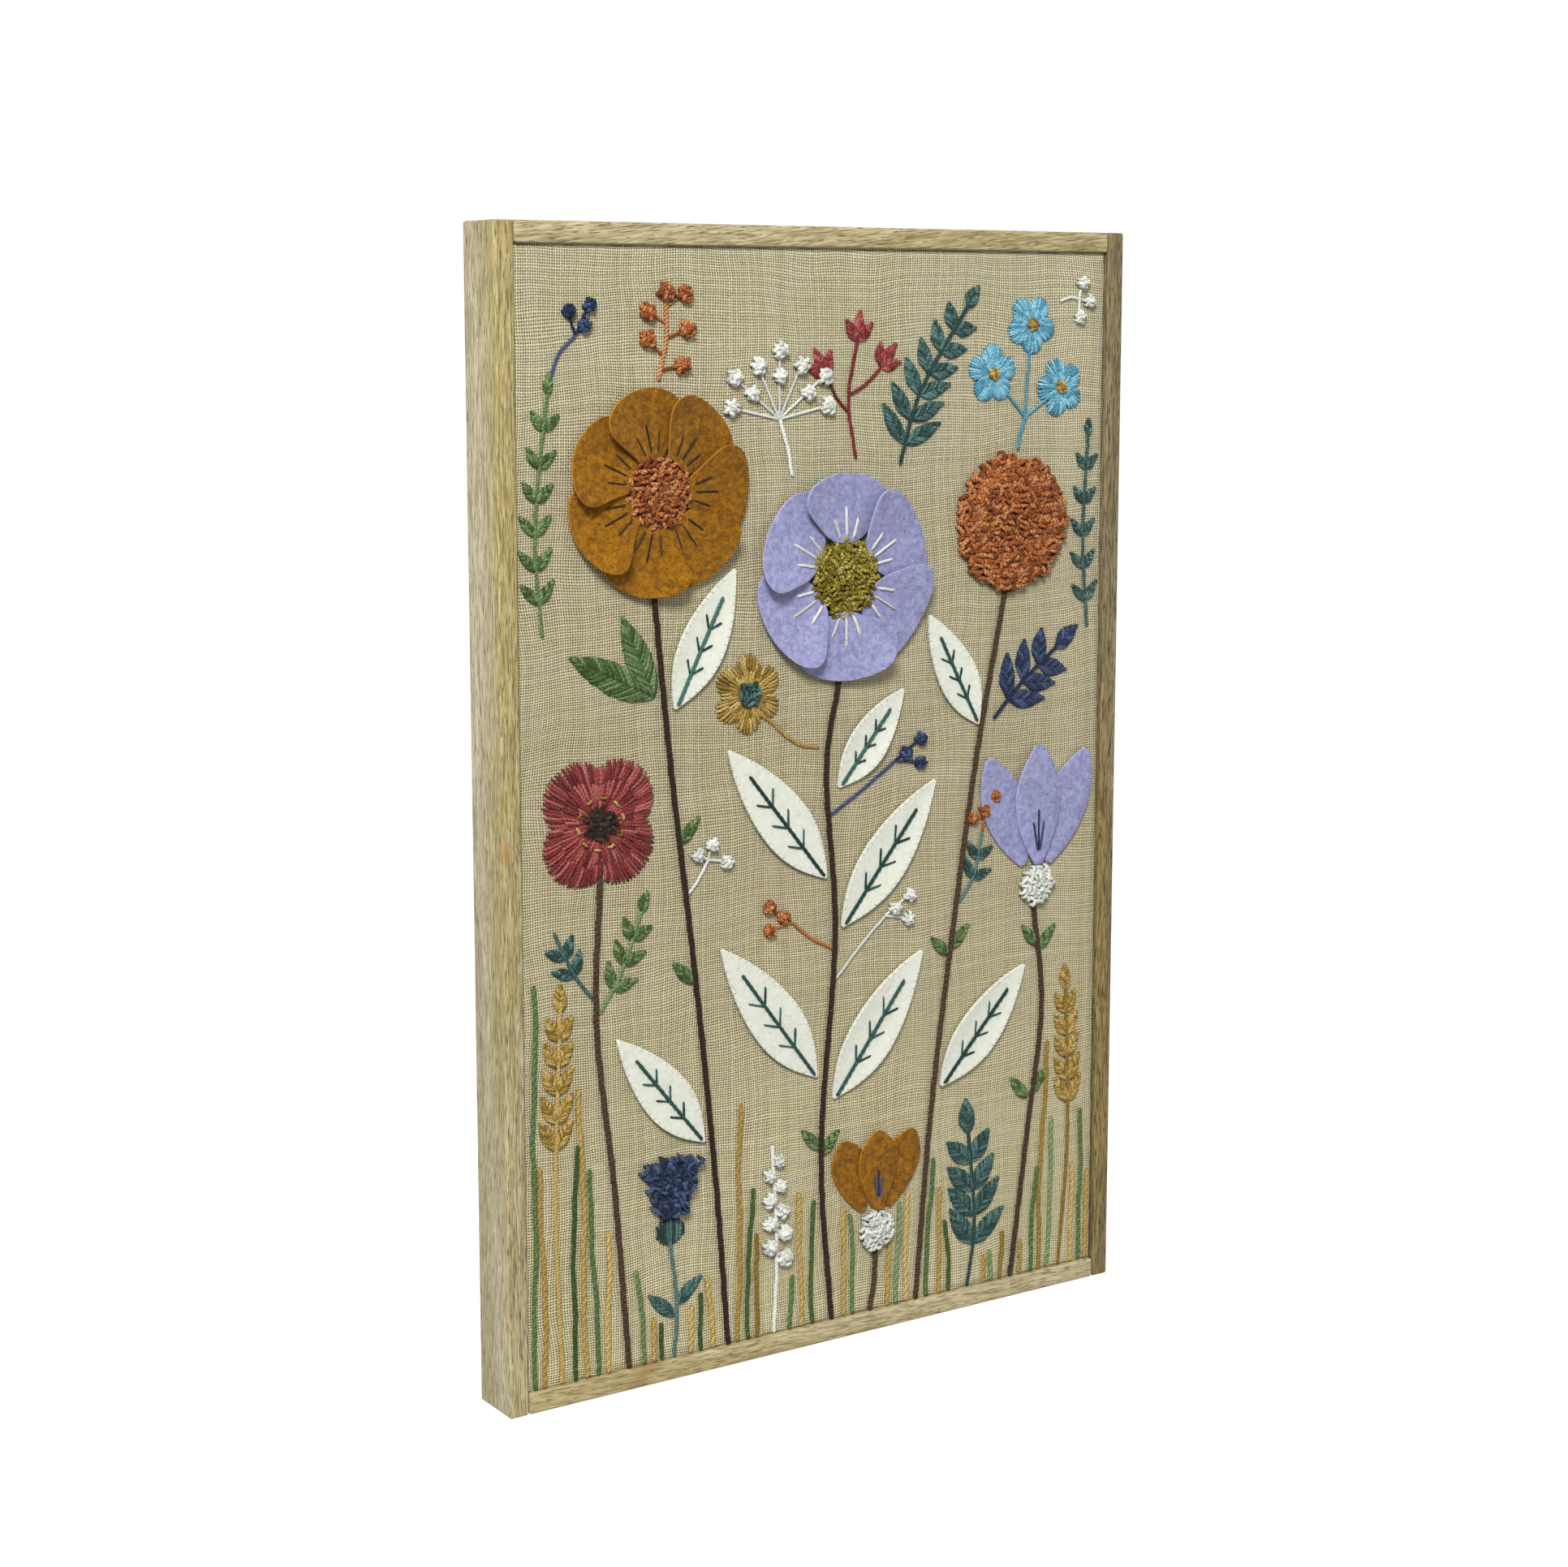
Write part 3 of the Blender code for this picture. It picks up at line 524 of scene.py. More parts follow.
# The solids in one tree, and the felt pieces in one each, tell how high the work stands at a point
felt_trees = []
relief_points = []
relief_faces = []
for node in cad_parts.values():
    start = len(relief_points)
    relief_points += [v.co.copy() for v in node.data.vertices]
    relief_faces += [[start + i for i in face.vertices] for face in node.data.polygons]
relief_tree = BVHTree.FromPolygons(relief_points, relief_faces)


def height_at(x, h):
    """How far in front of the cloth, in millimetres, the sewn pieces reach at this point."""
    origin = spot(x, h, 60)
    trees = [relief_tree]
    trees += [t for low, high, t in felt_trees if low.x < origin.x < high.x and low.z < origin.z < high.z]
    hits = [tree.ray_cast(origin, Vector((0, 1, 0)))[0] for tree in trees]
    return max([(CLOTH_FRONT - hit.y) / MM for hit in hits if hit], default=0.0)


def spikes(roots, heads, width):
    """Points and faces of thin closed hairs from each root to each head."""
    points = []
    faces = []
    for root, head in zip(roots, heads):
        way = (head - root).normalized()
        side = way.orthogonal().normalized()
        other = way.cross(side)
        start = len(points)
        for step in range(3):
            angle = 2 * math.pi * step / 3
            points.append(root + (side * math.cos(angle) + other * math.sin(angle)) * width)
        points.append(head)
        for step in range(3):
            faces.append((start + step, start + (step + 1) % 3, start + 3))
        faces.append((start + 2, start + 1, start))
    return points, faces


def add_fuzz(piece, count, reach, seed):
    """Scatters short hairs over a piece, flat on its faces and out past its edges."""
    chance = random.Random(seed)
    mesh = piece.data
    faces = [f for f in mesh.polygons if f.normal.y < 0.3]
    chosen = chance.choices(faces, weights=[f.area for f in faces], k=count)
    roots = []
    heads = []
    for face in chosen:
        corner = mesh.vertices[face.vertices[0]].co
        root = face.center + (corner - face.center) * chance.uniform(-0.8, 0.8)
        way = Vector((chance.uniform(-1, 1), chance.uniform(-1, 1), chance.uniform(-1, 1)))
        way = (way - face.normal * way.dot(face.normal) + face.normal * 0.35).normalized()
        roots.append(root - face.normal * 0.00005)
        heads.append(root + way * reach * chance.uniform(0.4, 1.0))
    points, hair_faces = spikes(roots, heads, HAIR_WIDTH)
    hairs = bpy.data.meshes.new(piece.name + "_hairs")
    hairs.from_pydata(points, [], hair_faces)
    holder = bpy.data.objects.new(piece.name + "_hairs", hairs)
    bpy.context.scene.collection.objects.link(holder)
    bpy.ops.object.select_all(action="DESELECT")
    holder.select_set(True)
    piece.select_set(True)
    bpy.context.view_layer.objects.active = piece
    bpy.ops.object.join()


def felt(name, dark, middle, light, rim_highlight, relief_strength=0.55, mottle=0.5):
    """Matted wool: curled fibres over clouds of lighter and darker wool, with a painted highlight that makes the cut
    edge paler.
    """
    made, tree, shader = material(name, 1.0, 0.05)
    coords = new_node(tree, "ShaderNodeTexCoord")
    place = coords.outputs["Object"]
    clouds = noise(tree, place, 330, 3, 0.6, 0.5)
    curls = noise(tree, place, 1050, 4, 0.75, 2.0)
    strands = noise(tree, mapped(tree, place, (1, 1, 4.0), (0.2, 0.9, 0.3)), 1300, 2, 0.6, 1.6)
    tint = calc(tree, "ADD", calc(tree, "MULTIPLY", clouds, mottle), calc(tree, "MULTIPLY", curls, 1 - mottle))
    tint = calc(tree, "ADD", calc(tree, "MULTIPLY", tint, 0.62), calc(tree, "MULTIPLY", strands, 0.38))
    base = ramp(tree, tint, (0.40, dark), (0.49, middle), (0.60, light))
    # Painted highlight: faces that turn sideways, the cut edges, take the paler rim colour.
    facing = new_node(tree, "ShaderNodeSeparateXYZ", {0: coords.outputs["Normal"]}).outputs[1]
    edge = calc(tree, "SUBTRACT", 0.55, calc(tree, "ABSOLUTE", facing))
    edge = calc(tree, "MULTIPLY", edge, 1.6)
    rim_highlight_share = new_node(tree, "ShaderNodeClamp", {0: edge}).outputs[0]
    tree.links.new(mix(tree, rim_highlight_share, base, rim_highlight), shader.inputs["Base Color"])
    relief = calc(tree, "ADD", curls, calc(tree, "MULTIPLY", strands, 0.7))
    bump(tree, shader, relief, relief_strength, 0.0006)
    return made


def curl(mesh, lift, wave, chance):
    """Lifts the side of a shape that lies over its neighbour, and waves its rim a little."""
    points = np.array([v.co for v in mesh.vertices])
    middle = points.mean(axis=0)
    flat = points[:, [0, 2]] - middle[[0, 2]]
    slope = np.linalg.lstsq(np.column_stack([flat, np.ones(len(flat))]), points[:, 1], rcond=None)[0][:2]
    reach = np.abs(flat).max()
    phase = chance.uniform(0, 6.28)
    steep = np.linalg.norm(slope)
    for v, (x, z) in zip(mesh.vertices, flat):
        out = math.hypot(x, z) / reach
        v.co.y -= wave * out ** 2 * (1 + math.sin(3 * math.atan2(z, x) + phase))
        if steep > 0.03:
            side = -(x * slope[0] + z * slope[1]) / steep / reach
            v.co.y -= lift * max(0.0, side) ** 1.8


def felt_piece(name, node, paint, slot, seed, lift=0.0, wave=0.0003):
    """A felt shape on a node's own form, with a smooth outline and soft cut edges."""
    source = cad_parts[node]
    low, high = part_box(node)
    piece = bpy.data.objects.new(name, source.data.copy())
    bpy.context.scene.collection.objects.link(piece)
    bpy.ops.object.select_all(action="DESELECT")
    piece.select_set(True)
    bpy.context.view_layer.objects.active = piece
    bpy.ops.object.mode_set(mode="EDIT")
    bpy.ops.mesh.select_all(action="SELECT")
    bpy.ops.mesh.remove_doubles(threshold=0.000002)
    bpy.ops.mesh.tris_convert_to_quads(face_threshold=math.radians(40), shape_threshold=math.radians(70))
    bpy.ops.object.mode_set(mode="OBJECT")
    mesh = piece.data
    work = bmesh.new()
    work.from_mesh(mesh)
    crease = work.edges.layers.float.get("crease_edge") or work.edges.layers.float.new("crease_edge")
    for edge in work.edges:
        if len(edge.link_faces) == 2 and edge.calc_face_angle() > math.radians(50):
            edge[crease] = 1.0
    work.to_mesh(mesh)
    work.free()
    smooth = piece.modifiers.new("smooth", "SUBSURF")
    smooth.levels = 2
    smooth.render_levels = 2
    soft = piece.modifiers.new("soft", "BEVEL")
    soft.width = FELT_EDGE
    soft.segments = 2
    soft.limit_method = "ANGLE"
    soft.angle_limit = math.radians(50)
    apply_modifiers(piece)
    chance = random.Random(seed)
    shift = [chance.uniform(0, 6) for _ in range(3)]
    for v in mesh.vertices:
        v.co.y += 0.00012 * math.sin(v.co.x * 310 + shift[0]) * math.sin(v.co.z * 280 + shift[1])
    curl(mesh, lift, wave, chance)
    tree = BVHTree.FromPolygons([v.co.copy() for v in mesh.vertices], [list(f.vertices) for f in mesh.polygons])
    felt_trees.append((low, high, tree))
    bpy.ops.object.shade_smooth_by_angle(angle=math.radians(60))
    add_fuzz(piece, 260, 0.0020, seed)
    add_piece(piece, paint, slot, node)
    return piece


white_felt = felt("white_wool_felt", colour("cdcfbf"), colour("d8dacb"), colour("e2e4d8"), colour("dcded2"), 0.35)
for number in range(1, 10):
    felt_piece(f"felt_leaf_{number}", f"leaf_{number}", white_felt, "white_felt", 40 + number)


# Yarn
# Every flower, leaf and stem is worked in soft two-ply wool. A run of yarn is a tube along its path
# whose two plies wind round each other, with loose hairs standing off it.

PLIES = 2


class Yarn:
    """Collects runs of yarn of one colour, and makes one mesh of them."""

    def __init__(self, seed):
        self.points = []
        self.faces = []
        self.uvs = []
        self.tones = []
        self.count = 0
        self.chance = random.Random(seed)
        self.hair_roots = []
        self.hair_heads = []

    def run(self, path, facing, radius, sides=7, pitch=5.0, depth=0.2, flat=1.0, hairs=0.5, taper=True):
        """Lays yarn along path, in millimetres of (x, h, out). facing is square to the path."""
        line = np.array(path, float)
        count = len(line)
        way = np.gradient(line, axis=0)
        way /= np.linalg.norm(way, axis=1)[:, None] + 1e-12
        up = np.array(facing, float)
        up = np.tile(up / np.linalg.norm(up), (count, 1))
        up -= way * (way * up).sum(1)[:, None]
        up /= np.linalg.norm(up, axis=1)[:, None] + 1e-12
        side = np.cross(way, up)
        steps = np.linalg.norm(np.diff(line, axis=0), axis=1)
        length = np.concatenate(([0.0], np.cumsum(steps)))
        angle = 2 * np.pi * np.arange(sides) / sides
        start_turn = self.chance.uniform(0, 6.28)
        twist = 2 * np.pi * length / pitch + start_turn
        lobe = 1 - depth * (0.5 - 0.5 * np.cos(PLIES * (angle[None, :] - twist[:, None])))
        size = np.full(count, float(radius))
        if taper:
            size[0] *= 0.6
            size[-1] *= 0.6
        wide = lobe * size[:, None]
        rings = (
            line[:, None, :]
            + side[:, None, :] * (wide * np.sin(angle))[:, :, None]
            + up[:, None, :] * (wide * np.cos(angle) * flat)[:, :, None]
        )
        first = self.count
        caps = np.stack([line[0] - way[0] * radius * 0.3, line[-1] + way[-1] * radius * 0.3])
        all_points = np.concatenate([rings.reshape(-1, 3), caps])
        self.points.append(all_points)
        self.count += len(all_points)
        tone = self.chance.random()
        self.tones.append(np.full(len(all_points), tone))
        around = (angle[None, :] - twist[:, None]) / (2 * np.pi)
        for i in range(count - 1):
            for k in range(sides):
                n = (k + 1) % sides
                a = first + i * sides
                self.faces.append((a + k, a + n, a + sides + n, a + sides + k))
                wrap = 1.0 if n == 0 else 0.0
                self.uvs += [
                    (length[i], around[i, k]), (length[i], around[i, n] + wrap),
                    (length[i + 1], around[i + 1, n] + wrap), (length[i + 1], around[i + 1, k]),
                ]
        head = first + count * sides
        last = first + (count - 1) * sides
        for k in range(sides):
            n = (k + 1) % sides
            self.faces.append((head, first + n, first + k))
            self.uvs += [(0.0, 0.0), (0.0, around[0, n]), (0.0, around[0, k])]
            self.faces.append((head + 1, last + k, last + n))
            self.uvs += [(length[-1], 0.0), (length[-1], around[-1, k]), (length[-1], around[-1, n])]
        total = hairs * length[-1]
        number = int(total) + (1 if self.chance.random() < total % 1 else 0)
        for _ in range(number):
            i = self.chance.randrange(count - 1)
            k = self.chance.randrange(sides)
            root = rings[i, k] + (rings[i + 1, k] - rings[i, k]) * self.chance.random()
            off = root - line[i]
            off /= np.linalg.norm(off) + 1e-9
            lean = way[i] * self.chance.uniform(-1.5, 1.5) + side[i] * self.chance.uniform(-0.8, 0.8)
            toward = off * self.chance.uniform(0.3, 1.0) + lean
            toward /= np.linalg.norm(toward)
            self.hair_roots.append(root - off * 0.1)
            self.hair_heads.append(root + toward * self.chance.uniform(0.8, 2.6))

    def stitch(self, start, end, radius=0.95, low=0.5, rise=0.9, bow=0.0, flat=0.75, hairs=0.5, points=6):
        """One flat stitch from start to end (x, h), which dips into the cloth at both ends."""
        a = np.array(start, float)
        b = np.array(end, float)
        along = b - a
        across = np.array((-along[1], along[0])) / (np.linalg.norm(along) + 1e-9)
        share = np.linspace(0, 1, points)
        hump = np.sin(np.pi * share) ** 0.55
        flat_line = a + along * share[:, None] + across * (bow * np.sin(np.pi * share))[:, None]
        path = np.column_stack([flat_line, low + (rise - low + 0.25) * hump - 0.25])
        self.run(path, (0, 0, 1), radius, 6, 4.5, 0.16, flat, hairs)

    def loop(self, x, h, angle, width, height, radius=1.35, lean=(0.0, 0.0), low=0.3, hairs=0.28, sides=6):
        """One standing loop of pile, an arch in the plane of angle, leaning by (x, h) at its top."""
        share = np.linspace(0, math.pi, 8)
        reach = -np.cos(share) * width / 2 * (1 + 0.35 * np.sin(share))
        rise = np.sin(share) ** 0.75
        a = math.radians(angle)
        path = np.column_stack([
            x + reach * math.cos(a) + lean[0] * rise,
            h + reach * math.sin(a) + lean[1] * rise,
            low + rise * (height - radius - low),
        ])
        sway = self.chance.uniform(-0.5, 0.5) * radius
        path[:, 0] -= sway * np.sin(2 * share) * math.sin(a)
        path[:, 1] += sway * np.sin(2 * share) * math.cos(a)
        self.run(path, (-math.sin(a), math.cos(a), 0), radius, sides, 3.0, 0.42, 1.0, hairs, False)

    def knot(self, x, h, size, height):
        """A lump of small loops drawn close together, highest at its middle."""
        turn = self.chance.uniform(0, 360)
        core = [(*turned(x, h, turn, size * share), height * 0.40) for share in (-0.6, -0.2, 0.2, 0.6)]
        self.run(core, (0, 0, 1), size * 0.62, 7, 4.0, 0.1, 0.6, 0.0)
        for number in range(6):
            angle = turn + 60 * number + self.chance.uniform(-10, 10)
            kx, kh = turned(x, h, angle, size * 0.56)
            top = height * self.chance.uniform(0.66, 0.84)
            spin = angle + self.chance.choice((50, 90, 130)) + self.chance.uniform(-15, 15)
            self.loop(kx, kh, spin, size * 0.50, top, size * 0.29)
        for number in range(2):
            self.loop(x, h, turn + 35 + 90 * number, size * 0.55, height * (1.0 - 0.1 * number), size * 0.30)

    def pile(self, x, h, inside, reach, spacing, height, radius=1.45, dome=0.25, low=0.3):
        """Fills an outline with loops. inside(dx, dh) is 0 at the middle, 1 at the rim and more outside."""
        row_step = spacing * 0.866
        rows = int(reach / row_step) + 1
        for row in range(-rows, rows + 1):
            bed = [dx for dx in np.arange(-reach, reach, spacing) if inside(dx, row * row_step) < 0.9]
            if len(bed) > 2:
                path = [(x + dx, h + row * row_step, height * 0.4) for dx in bed]
                self.run(path, (0, 0, 1), row_step * 0.72, 6, 5.0, 0.15, 1.0, 0.0)
            for column in range(-rows - 2, rows + 3):
                dx = (column + 0.5 * (row % 2)) * spacing + self.chance.uniform(-0.22, 0.22) * spacing
                dh = row * row_step + self.chance.uniform(-0.22, 0.22) * spacing
                share = inside(dx, dh)
                if share > 1:
                    continue
                lean = 1.3 * share ** 2 / (math.hypot(dx, dh) + 0.01)
                top = height * (1 - dome * share ** 2) * self.chance.uniform(0.76, 1.05)
                width = spacing * self.chance.uniform(1.1, 1.7)
                angle = self.chance.uniform(0, 180)
                self.loop(x + dx, h + dh, angle, width, top, radius, (dx * lean, dh * lean), low)

    def mesh(self, name, paint, slot, *nodes):
        """Makes the piece of all that was laid."""
        points = np.concatenate(self.points)
        tones = list(np.concatenate(self.tones))
        hair_points, hair_faces = spikes(
            [Vector(r) for r in self.hair_roots], [Vector(t) for t in self.hair_heads], HAIR_WIDTH / MM
        )
        shifted = [tuple(len(points) + i for i in face) for face in hair_faces]
        all_points = [tuple(p) for p in points] + [tuple(p) for p in hair_points]
        placed = [spot(x, h, out) for x, h, out in all_points]
        made = bpy.data.meshes.new(name)
        made.from_pydata(placed, [], self.faces + shifted)
        layer = made.uv_layers.new(name="UVMap")
        flat_uvs = np.zeros((len(made.loops), 2))
        flat_uvs[:len(self.uvs)] = self.uvs
        layer.data.foreach_set("uv", flat_uvs.ravel())
        tone = made.attributes.new("tone", "FLOAT", "POINT")
        # Hairs get tone 1.4, beyond any run's own tone, which paints them at the pale end of the wool: a painted
        # highlight for loose fibres catching the light.
        tone.data.foreach_set("value", np.array(tones + [1.4] * len(hair_points), dtype=np.float32))
        made.shade_smooth()
        made.validate()
        piece = bpy.data.objects.new(name, made)
        bpy.context.scene.collection.objects.link(piece)
        return add_piece(piece, paint, slot, *nodes)


def wool(name, deep, middle, light, roughness=0.95, sheen=0.06, crease=0.5):
    """Two-ply wool with painted shade in the grooves where its plies meet, with fibres along the plies and uneven dye.
    """
    made, tree, shader = material(name, roughness, sheen)
    coords = new_node(tree, "ShaderNodeTexCoord")
    uv = coords.outputs["UV"]
    around = new_node(tree, "ShaderNodeSeparateXYZ", {0: uv}).outputs[1]
    tone = new_node(tree, "ShaderNodeAttribute", attribute_name="tone").outputs["Fac"]
    ply = calc(tree, "COSINE", calc(tree, "MULTIPLY", around, 2 * math.pi * PLIES))
    groove = calc(tree, "MULTIPLY", calc(tree, "SUBTRACT", 1.0, ply), 0.5)
    fibres = noise(tree, mapped(tree, uv, (0.7, 8.0, 1)), 1.6, 3, 0.7, 0.4)
    dye = noise(tree, coords.outputs["Object"], 1100, 3, 0.75, 0.6)
    tint = calc(tree, "ADD", calc(tree, "MULTIPLY", fibres, 0.55), calc(tree, "MULTIPLY", dye, 0.42))
    tint = calc(tree, "ADD", tint, calc(tree, "MULTIPLY", tone, 0.24))
    base = ramp(tree, tint, (0.46, deep), (0.60, middle), (0.76, light))
    # Painted shade: the deep colour is mixed into the grooves where the plies meet, as strongly as crease asks.
    shade = calc(tree, "MULTIPLY", calc(tree, "POWER", groove, 2.0), crease)
    base = mix(tree, shade, base, deep)
    tree.links.new(base, shader.inputs["Base Color"])
    relief = calc(tree, "ADD", calc(tree, "MULTIPLY", ply, 0.6 * crease), fibres)
    bump(tree, shader, relief, 0.9, 0.0005)
    return made


rust = wool("rust_wool", colour("602402"), colour("b3652c"), colour("e4a468"), crease=0.8)
olive = wool("olive_silk_yarn", colour("4e3e04"), colour("9c8820"), colour("dcce6c"), 0.5, 0.0, 0.9)
white = wool("white_wool", colour("b8baae"), colour("dcded5"), colour("f0f2ea"), crease=0.45)
red = wool("red_wool", colour("561414"), colour("8c302e"), colour("c8746a"))
brown = wool("brown_wool", colour("170d06"), colour("2c1c10"), colour("5c4632"))
teal = wool("teal_wool", colour("102b28"), colour("2a4c48"), colour("6e948d"))
green = wool("green_wool", colour("24390f"), colour("4c6832"), colour("90a874"))
navy = wool("navy_wool", colour("0e1930"), colour("21304e"), colour("586a92"))
blue = wool("light_blue_silk_yarn", colour("3a7c94"), colour("64aac2"), colour("aee0ec"), 0.5, 0.0, 0.5)
mustard = wool("mustard_wool", colour("6c540f"), colour("a58436"), colour("dcc07a"))
rib_teal = wool("rib_teal_wool", colour("0f2a25"), colour("204a43"), colour("4c7a72"))
pale_thread = wool("sewing_thread", colour("b8baaa"), colour("d2d4c6"), colour("e8eae0"))
ochre_fibre = wool("ochre_felt_fibre", colour("9a6c2c"), colour("c09450"), colour("d8b274"))
lavender_fibre = wool("lavender_felt_fibre", colour("a4a6cc"), colour("c8cae4"), colour("e4e6f4"))
white_fibre = wool("white_felt_fibre", colour("d0d2c4"), colour("e6e8dc"), colour("f4f6ee"))


# Ribs and rim stitches of the felt leaves
# Dark green yarn is couched along each leaf's middle, with short veins to both sides of it, and
# fine pale thread whips the rim to the cloth.

RIB_RADIUS = 1.15
VEIN_RADIUS = 0.7
WHIP_STEP = 4.2


def leaf_frame(node):
    """The two ends of a leaf, in (x, h), root first, which is the lower one."""
    ends = [v.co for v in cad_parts[node].data.vertices]
    low = min(ends, key=lambda p: p.z)
    high = max(ends, key=lambda p: p.z)
    return tuple((p.x / MM, (p.z - FRAME_FOOT) / MM) for p in (low, high))


def draped_run(yarn, start, end, radius, count, over=0.4, **settings):
    """A run of yarn that lies on whatever is sewn below it."""
    path = []
    for step in range(count):
        share = step / (count - 1)
        x = start[0] + (end[0] - start[0]) * share
        h = start[1] + (end[1] - start[1]) * share
        dip = 0.9 if step in (0, count - 1) else 0.0
        path.append((x, h, height_at(x, h) + radius * over - dip))
    yarn.run(path, (0, 0, 1), radius, **settings)


ribs = Yarn(3)
whips = Yarn(4)
for number in range(1, 10):
    root, tip = leaf_frame(f"leaf_{number}")
    along = Vector(tip) - Vector(root)
    length = along.length
    heading = math.degrees(math.atan2(along.y, along.x))
    start = turned(*root, heading, 2.0)
    end = turned(*root, heading, length * 0.80)
    draped_run(ribs, start, end, RIB_RADIUS, int(length * 0.8 / 1.2), sides=8, pitch=3.4, depth=0.3, hairs=0.8)
    for vein in range(3):
        base = turned(*root, heading, length * (0.24 + 0.16 * vein))
        for way in (1, -1):
            out = turned(*base, heading + way * 38, length * 0.115)
            draped_run(ribs, base, out, VEIN_RADIUS, 8, sides=6, pitch=3.0, depth=0.3, hairs=0.5)
    steps = int(length / WHIP_STEP)
    for step in range(2, steps - 1):
        middle = turned(*root, heading, step * WHIP_STEP)
        for way in (1, -1):
            reach = 0.0
            while reach < 20 and height_at(*turned(*middle, heading, 0, way * (reach + 0.3))) > 1.0:
                reach += 0.3
            if reach < 2.5:
                continue
            inner = turned(*middle, heading, 0, way * (reach - 1.9))
            outer = turned(*middle, heading, 0.4, way * (reach + 0.35))
            edge = turned(*middle, heading, 0.3, way * (reach - 0.1))
            top = height_at(*inner)
            path = [
                (*inner, top - 0.25), (*turned(*inner, heading, 0.1, way * 0.5), top + 0.15),
                (*edge, height_at(*turned(*edge, heading, 0, -way * 0.4)) + 0.12), (*outer, 0.1),
            ]
            whips.run(path, (0, 0, 1), 0.17, 5, 1.2, 0.0, 1.0, 0.0)
ribs.mesh("leaf_ribs", rib_teal, "teal_yarn")
whips.mesh("leaf_whip_stitches", pale_thread, "white_yarn")


# Sunflower
# Seven ochre felt petals overlap in a ring round a pad of rust loops, with a few short dark
# stitches up each petal that hold it down.

SUNFLOWER = (-108, 474)
SUNFLOWER_PETALS = 7
PAD_RADIUS = 20.0
PAD_HEIGHT = 9.5
RING_LIFT = 0.0042
RING_WAVE = 0.0006


def inside_round(radius):
    """The share of a round outline's radius at a point, with a slightly uneven rim."""
    def share(dx, dh):
        a = math.atan2(dh, dx)
        return math.hypot(dx, dh) / (radius * (1 + 0.03 * math.sin(5 * a + 1) * math.cos(2 * a)))
    return share


def petal_stitches(yarn, centre, count, first, start, lengths, splay, radius):
    """Straight stitches that fan up each petal of a ring from near its root."""
    for number in range(count):
        angle = first + 360 * number / count
        for length, turn in zip(lengths, splay):
            a = turned(*centre, angle + turn, start)
            b = turned(*centre, angle + turn * 1.25, start + length)
            draped_run(yarn, a, b, radius, 7, sides=6, pitch=3.0, depth=0.3, hairs=0.4)


ochre_felt = felt("ochre_wool_felt", colour("563300"), colour("815300"), colour("b47b0e"), colour("bd8218"))
for number in range(SUNFLOWER_PETALS):
    node = f"sunflower_petal_{number + 1}"
    felt_piece("felt_" + node, node, ochre_felt, "ochre_felt", 60 + number, RING_LIFT, RING_WAVE)
sunflower_lines = Yarn(11)
petal_stitches(sunflower_lines, SUNFLOWER, SUNFLOWER_PETALS, 0, 20, (13, 17, 13), (-11, 0, 11), 0.6)
sunflower_lines.mesh("sunflower_petal_stitches", brown, "brown_yarn")
sunflower_pad = Yarn(12)
sunflower_pad.pile(*SUNFLOWER, inside_round(PAD_RADIUS - 1.8), PAD_RADIUS, 3.1, PAD_HEIGHT, 1.4)
sunflower_pad.mesh("sunflower_loop_pad", rust, "rust_yarn", "sunflower_pad")


# Cosmos
# Six broad lavender felt petals overlap in a ring round a pad of shiny olive loops, and three
# white stitches fan up each petal.

COSMOS = (8, 425)
COSMOS_PETALS = 6

lavender_felt = felt(
    "lavender_wool_felt", colour("74749f"), colour("8f90b8"), colour("b0b2d4"), colour("b0b2d4")
)
for number in range(COSMOS_PETALS):
    node = f"cosmos_petal_{number + 1}"
    felt_piece("felt_" + node, node, lavender_felt, "lavender_felt", 70 + number, RING_LIFT, RING_WAVE)
cosmos_lines = Yarn(13)
petal_stitches(cosmos_lines, COSMOS, COSMOS_PETALS, 90, 21, (12, 18, 12), (-12, 0, 12), 0.95)
cosmos_lines.mesh("cosmos_petal_stitches", white, "white_yarn")
cosmos_pad = Yarn(14)
cosmos_pad.pile(*COSMOS, inside_round(PAD_RADIUS), PAD_RADIUS, 3.1, PAD_HEIGHT, 1.4)
cosmos_pad.mesh("cosmos_loop_pad", olive, "olive_yarn", "cosmos_pad")


# Tulip and bud
# Three felt petals each, the front one over the other two, above a round pad of white loops.

TULIP = (143, 254)
BUD = (32, 70)
CUP_PAD = 11.0

for cup, place, paint, slot in (("tulip", TULIP, lavender_felt, "lavender_felt"), ("bud", BUD, ochre_felt, "ochre_felt")):
    for number, side in enumerate(("left", "right", "front")):
        node = f"{cup}_petal_{side}"
        felt_piece("felt_" + node, node, paint, slot, 80 + number + place[1], 0.0015, 0.0006)
    pad = Yarn(place[1])
    centre = (place[0], place[1] - CUP_PAD - 1.0)
    pad.pile(*centre, inside_round(CUP_PAD - 1.0), CUP_PAD, 2.5, 7.6, 1.3)
    pad.mesh(cup + "_loop_pad", white, "white_yarn", cup + "_pad")
cup_lines = Yarn(17)
for place, length, line in ((TULIP, 26, 0.7), (BUD, 17, 0.7)):
    for turn in (-9, 0, 9):
        a = turned(*place, 90 + turn * 0.6, 7)
        b = turned(*place, 90 + turn, 7 + length * (1 if turn == 0 else 0.72))
        draped_run(cup_lines, a, b, line, 9, sides=6, pitch=3.0, depth=0.3, hairs=0.4)
cup_lines.mesh("cup_petal_stitches", navy, "navy_yarn")


# Marigold
# A thick round of rust loops, highest at its middle.

MARIGOLD = (122, 450)
MARIGOLD_RADIUS = 38.0

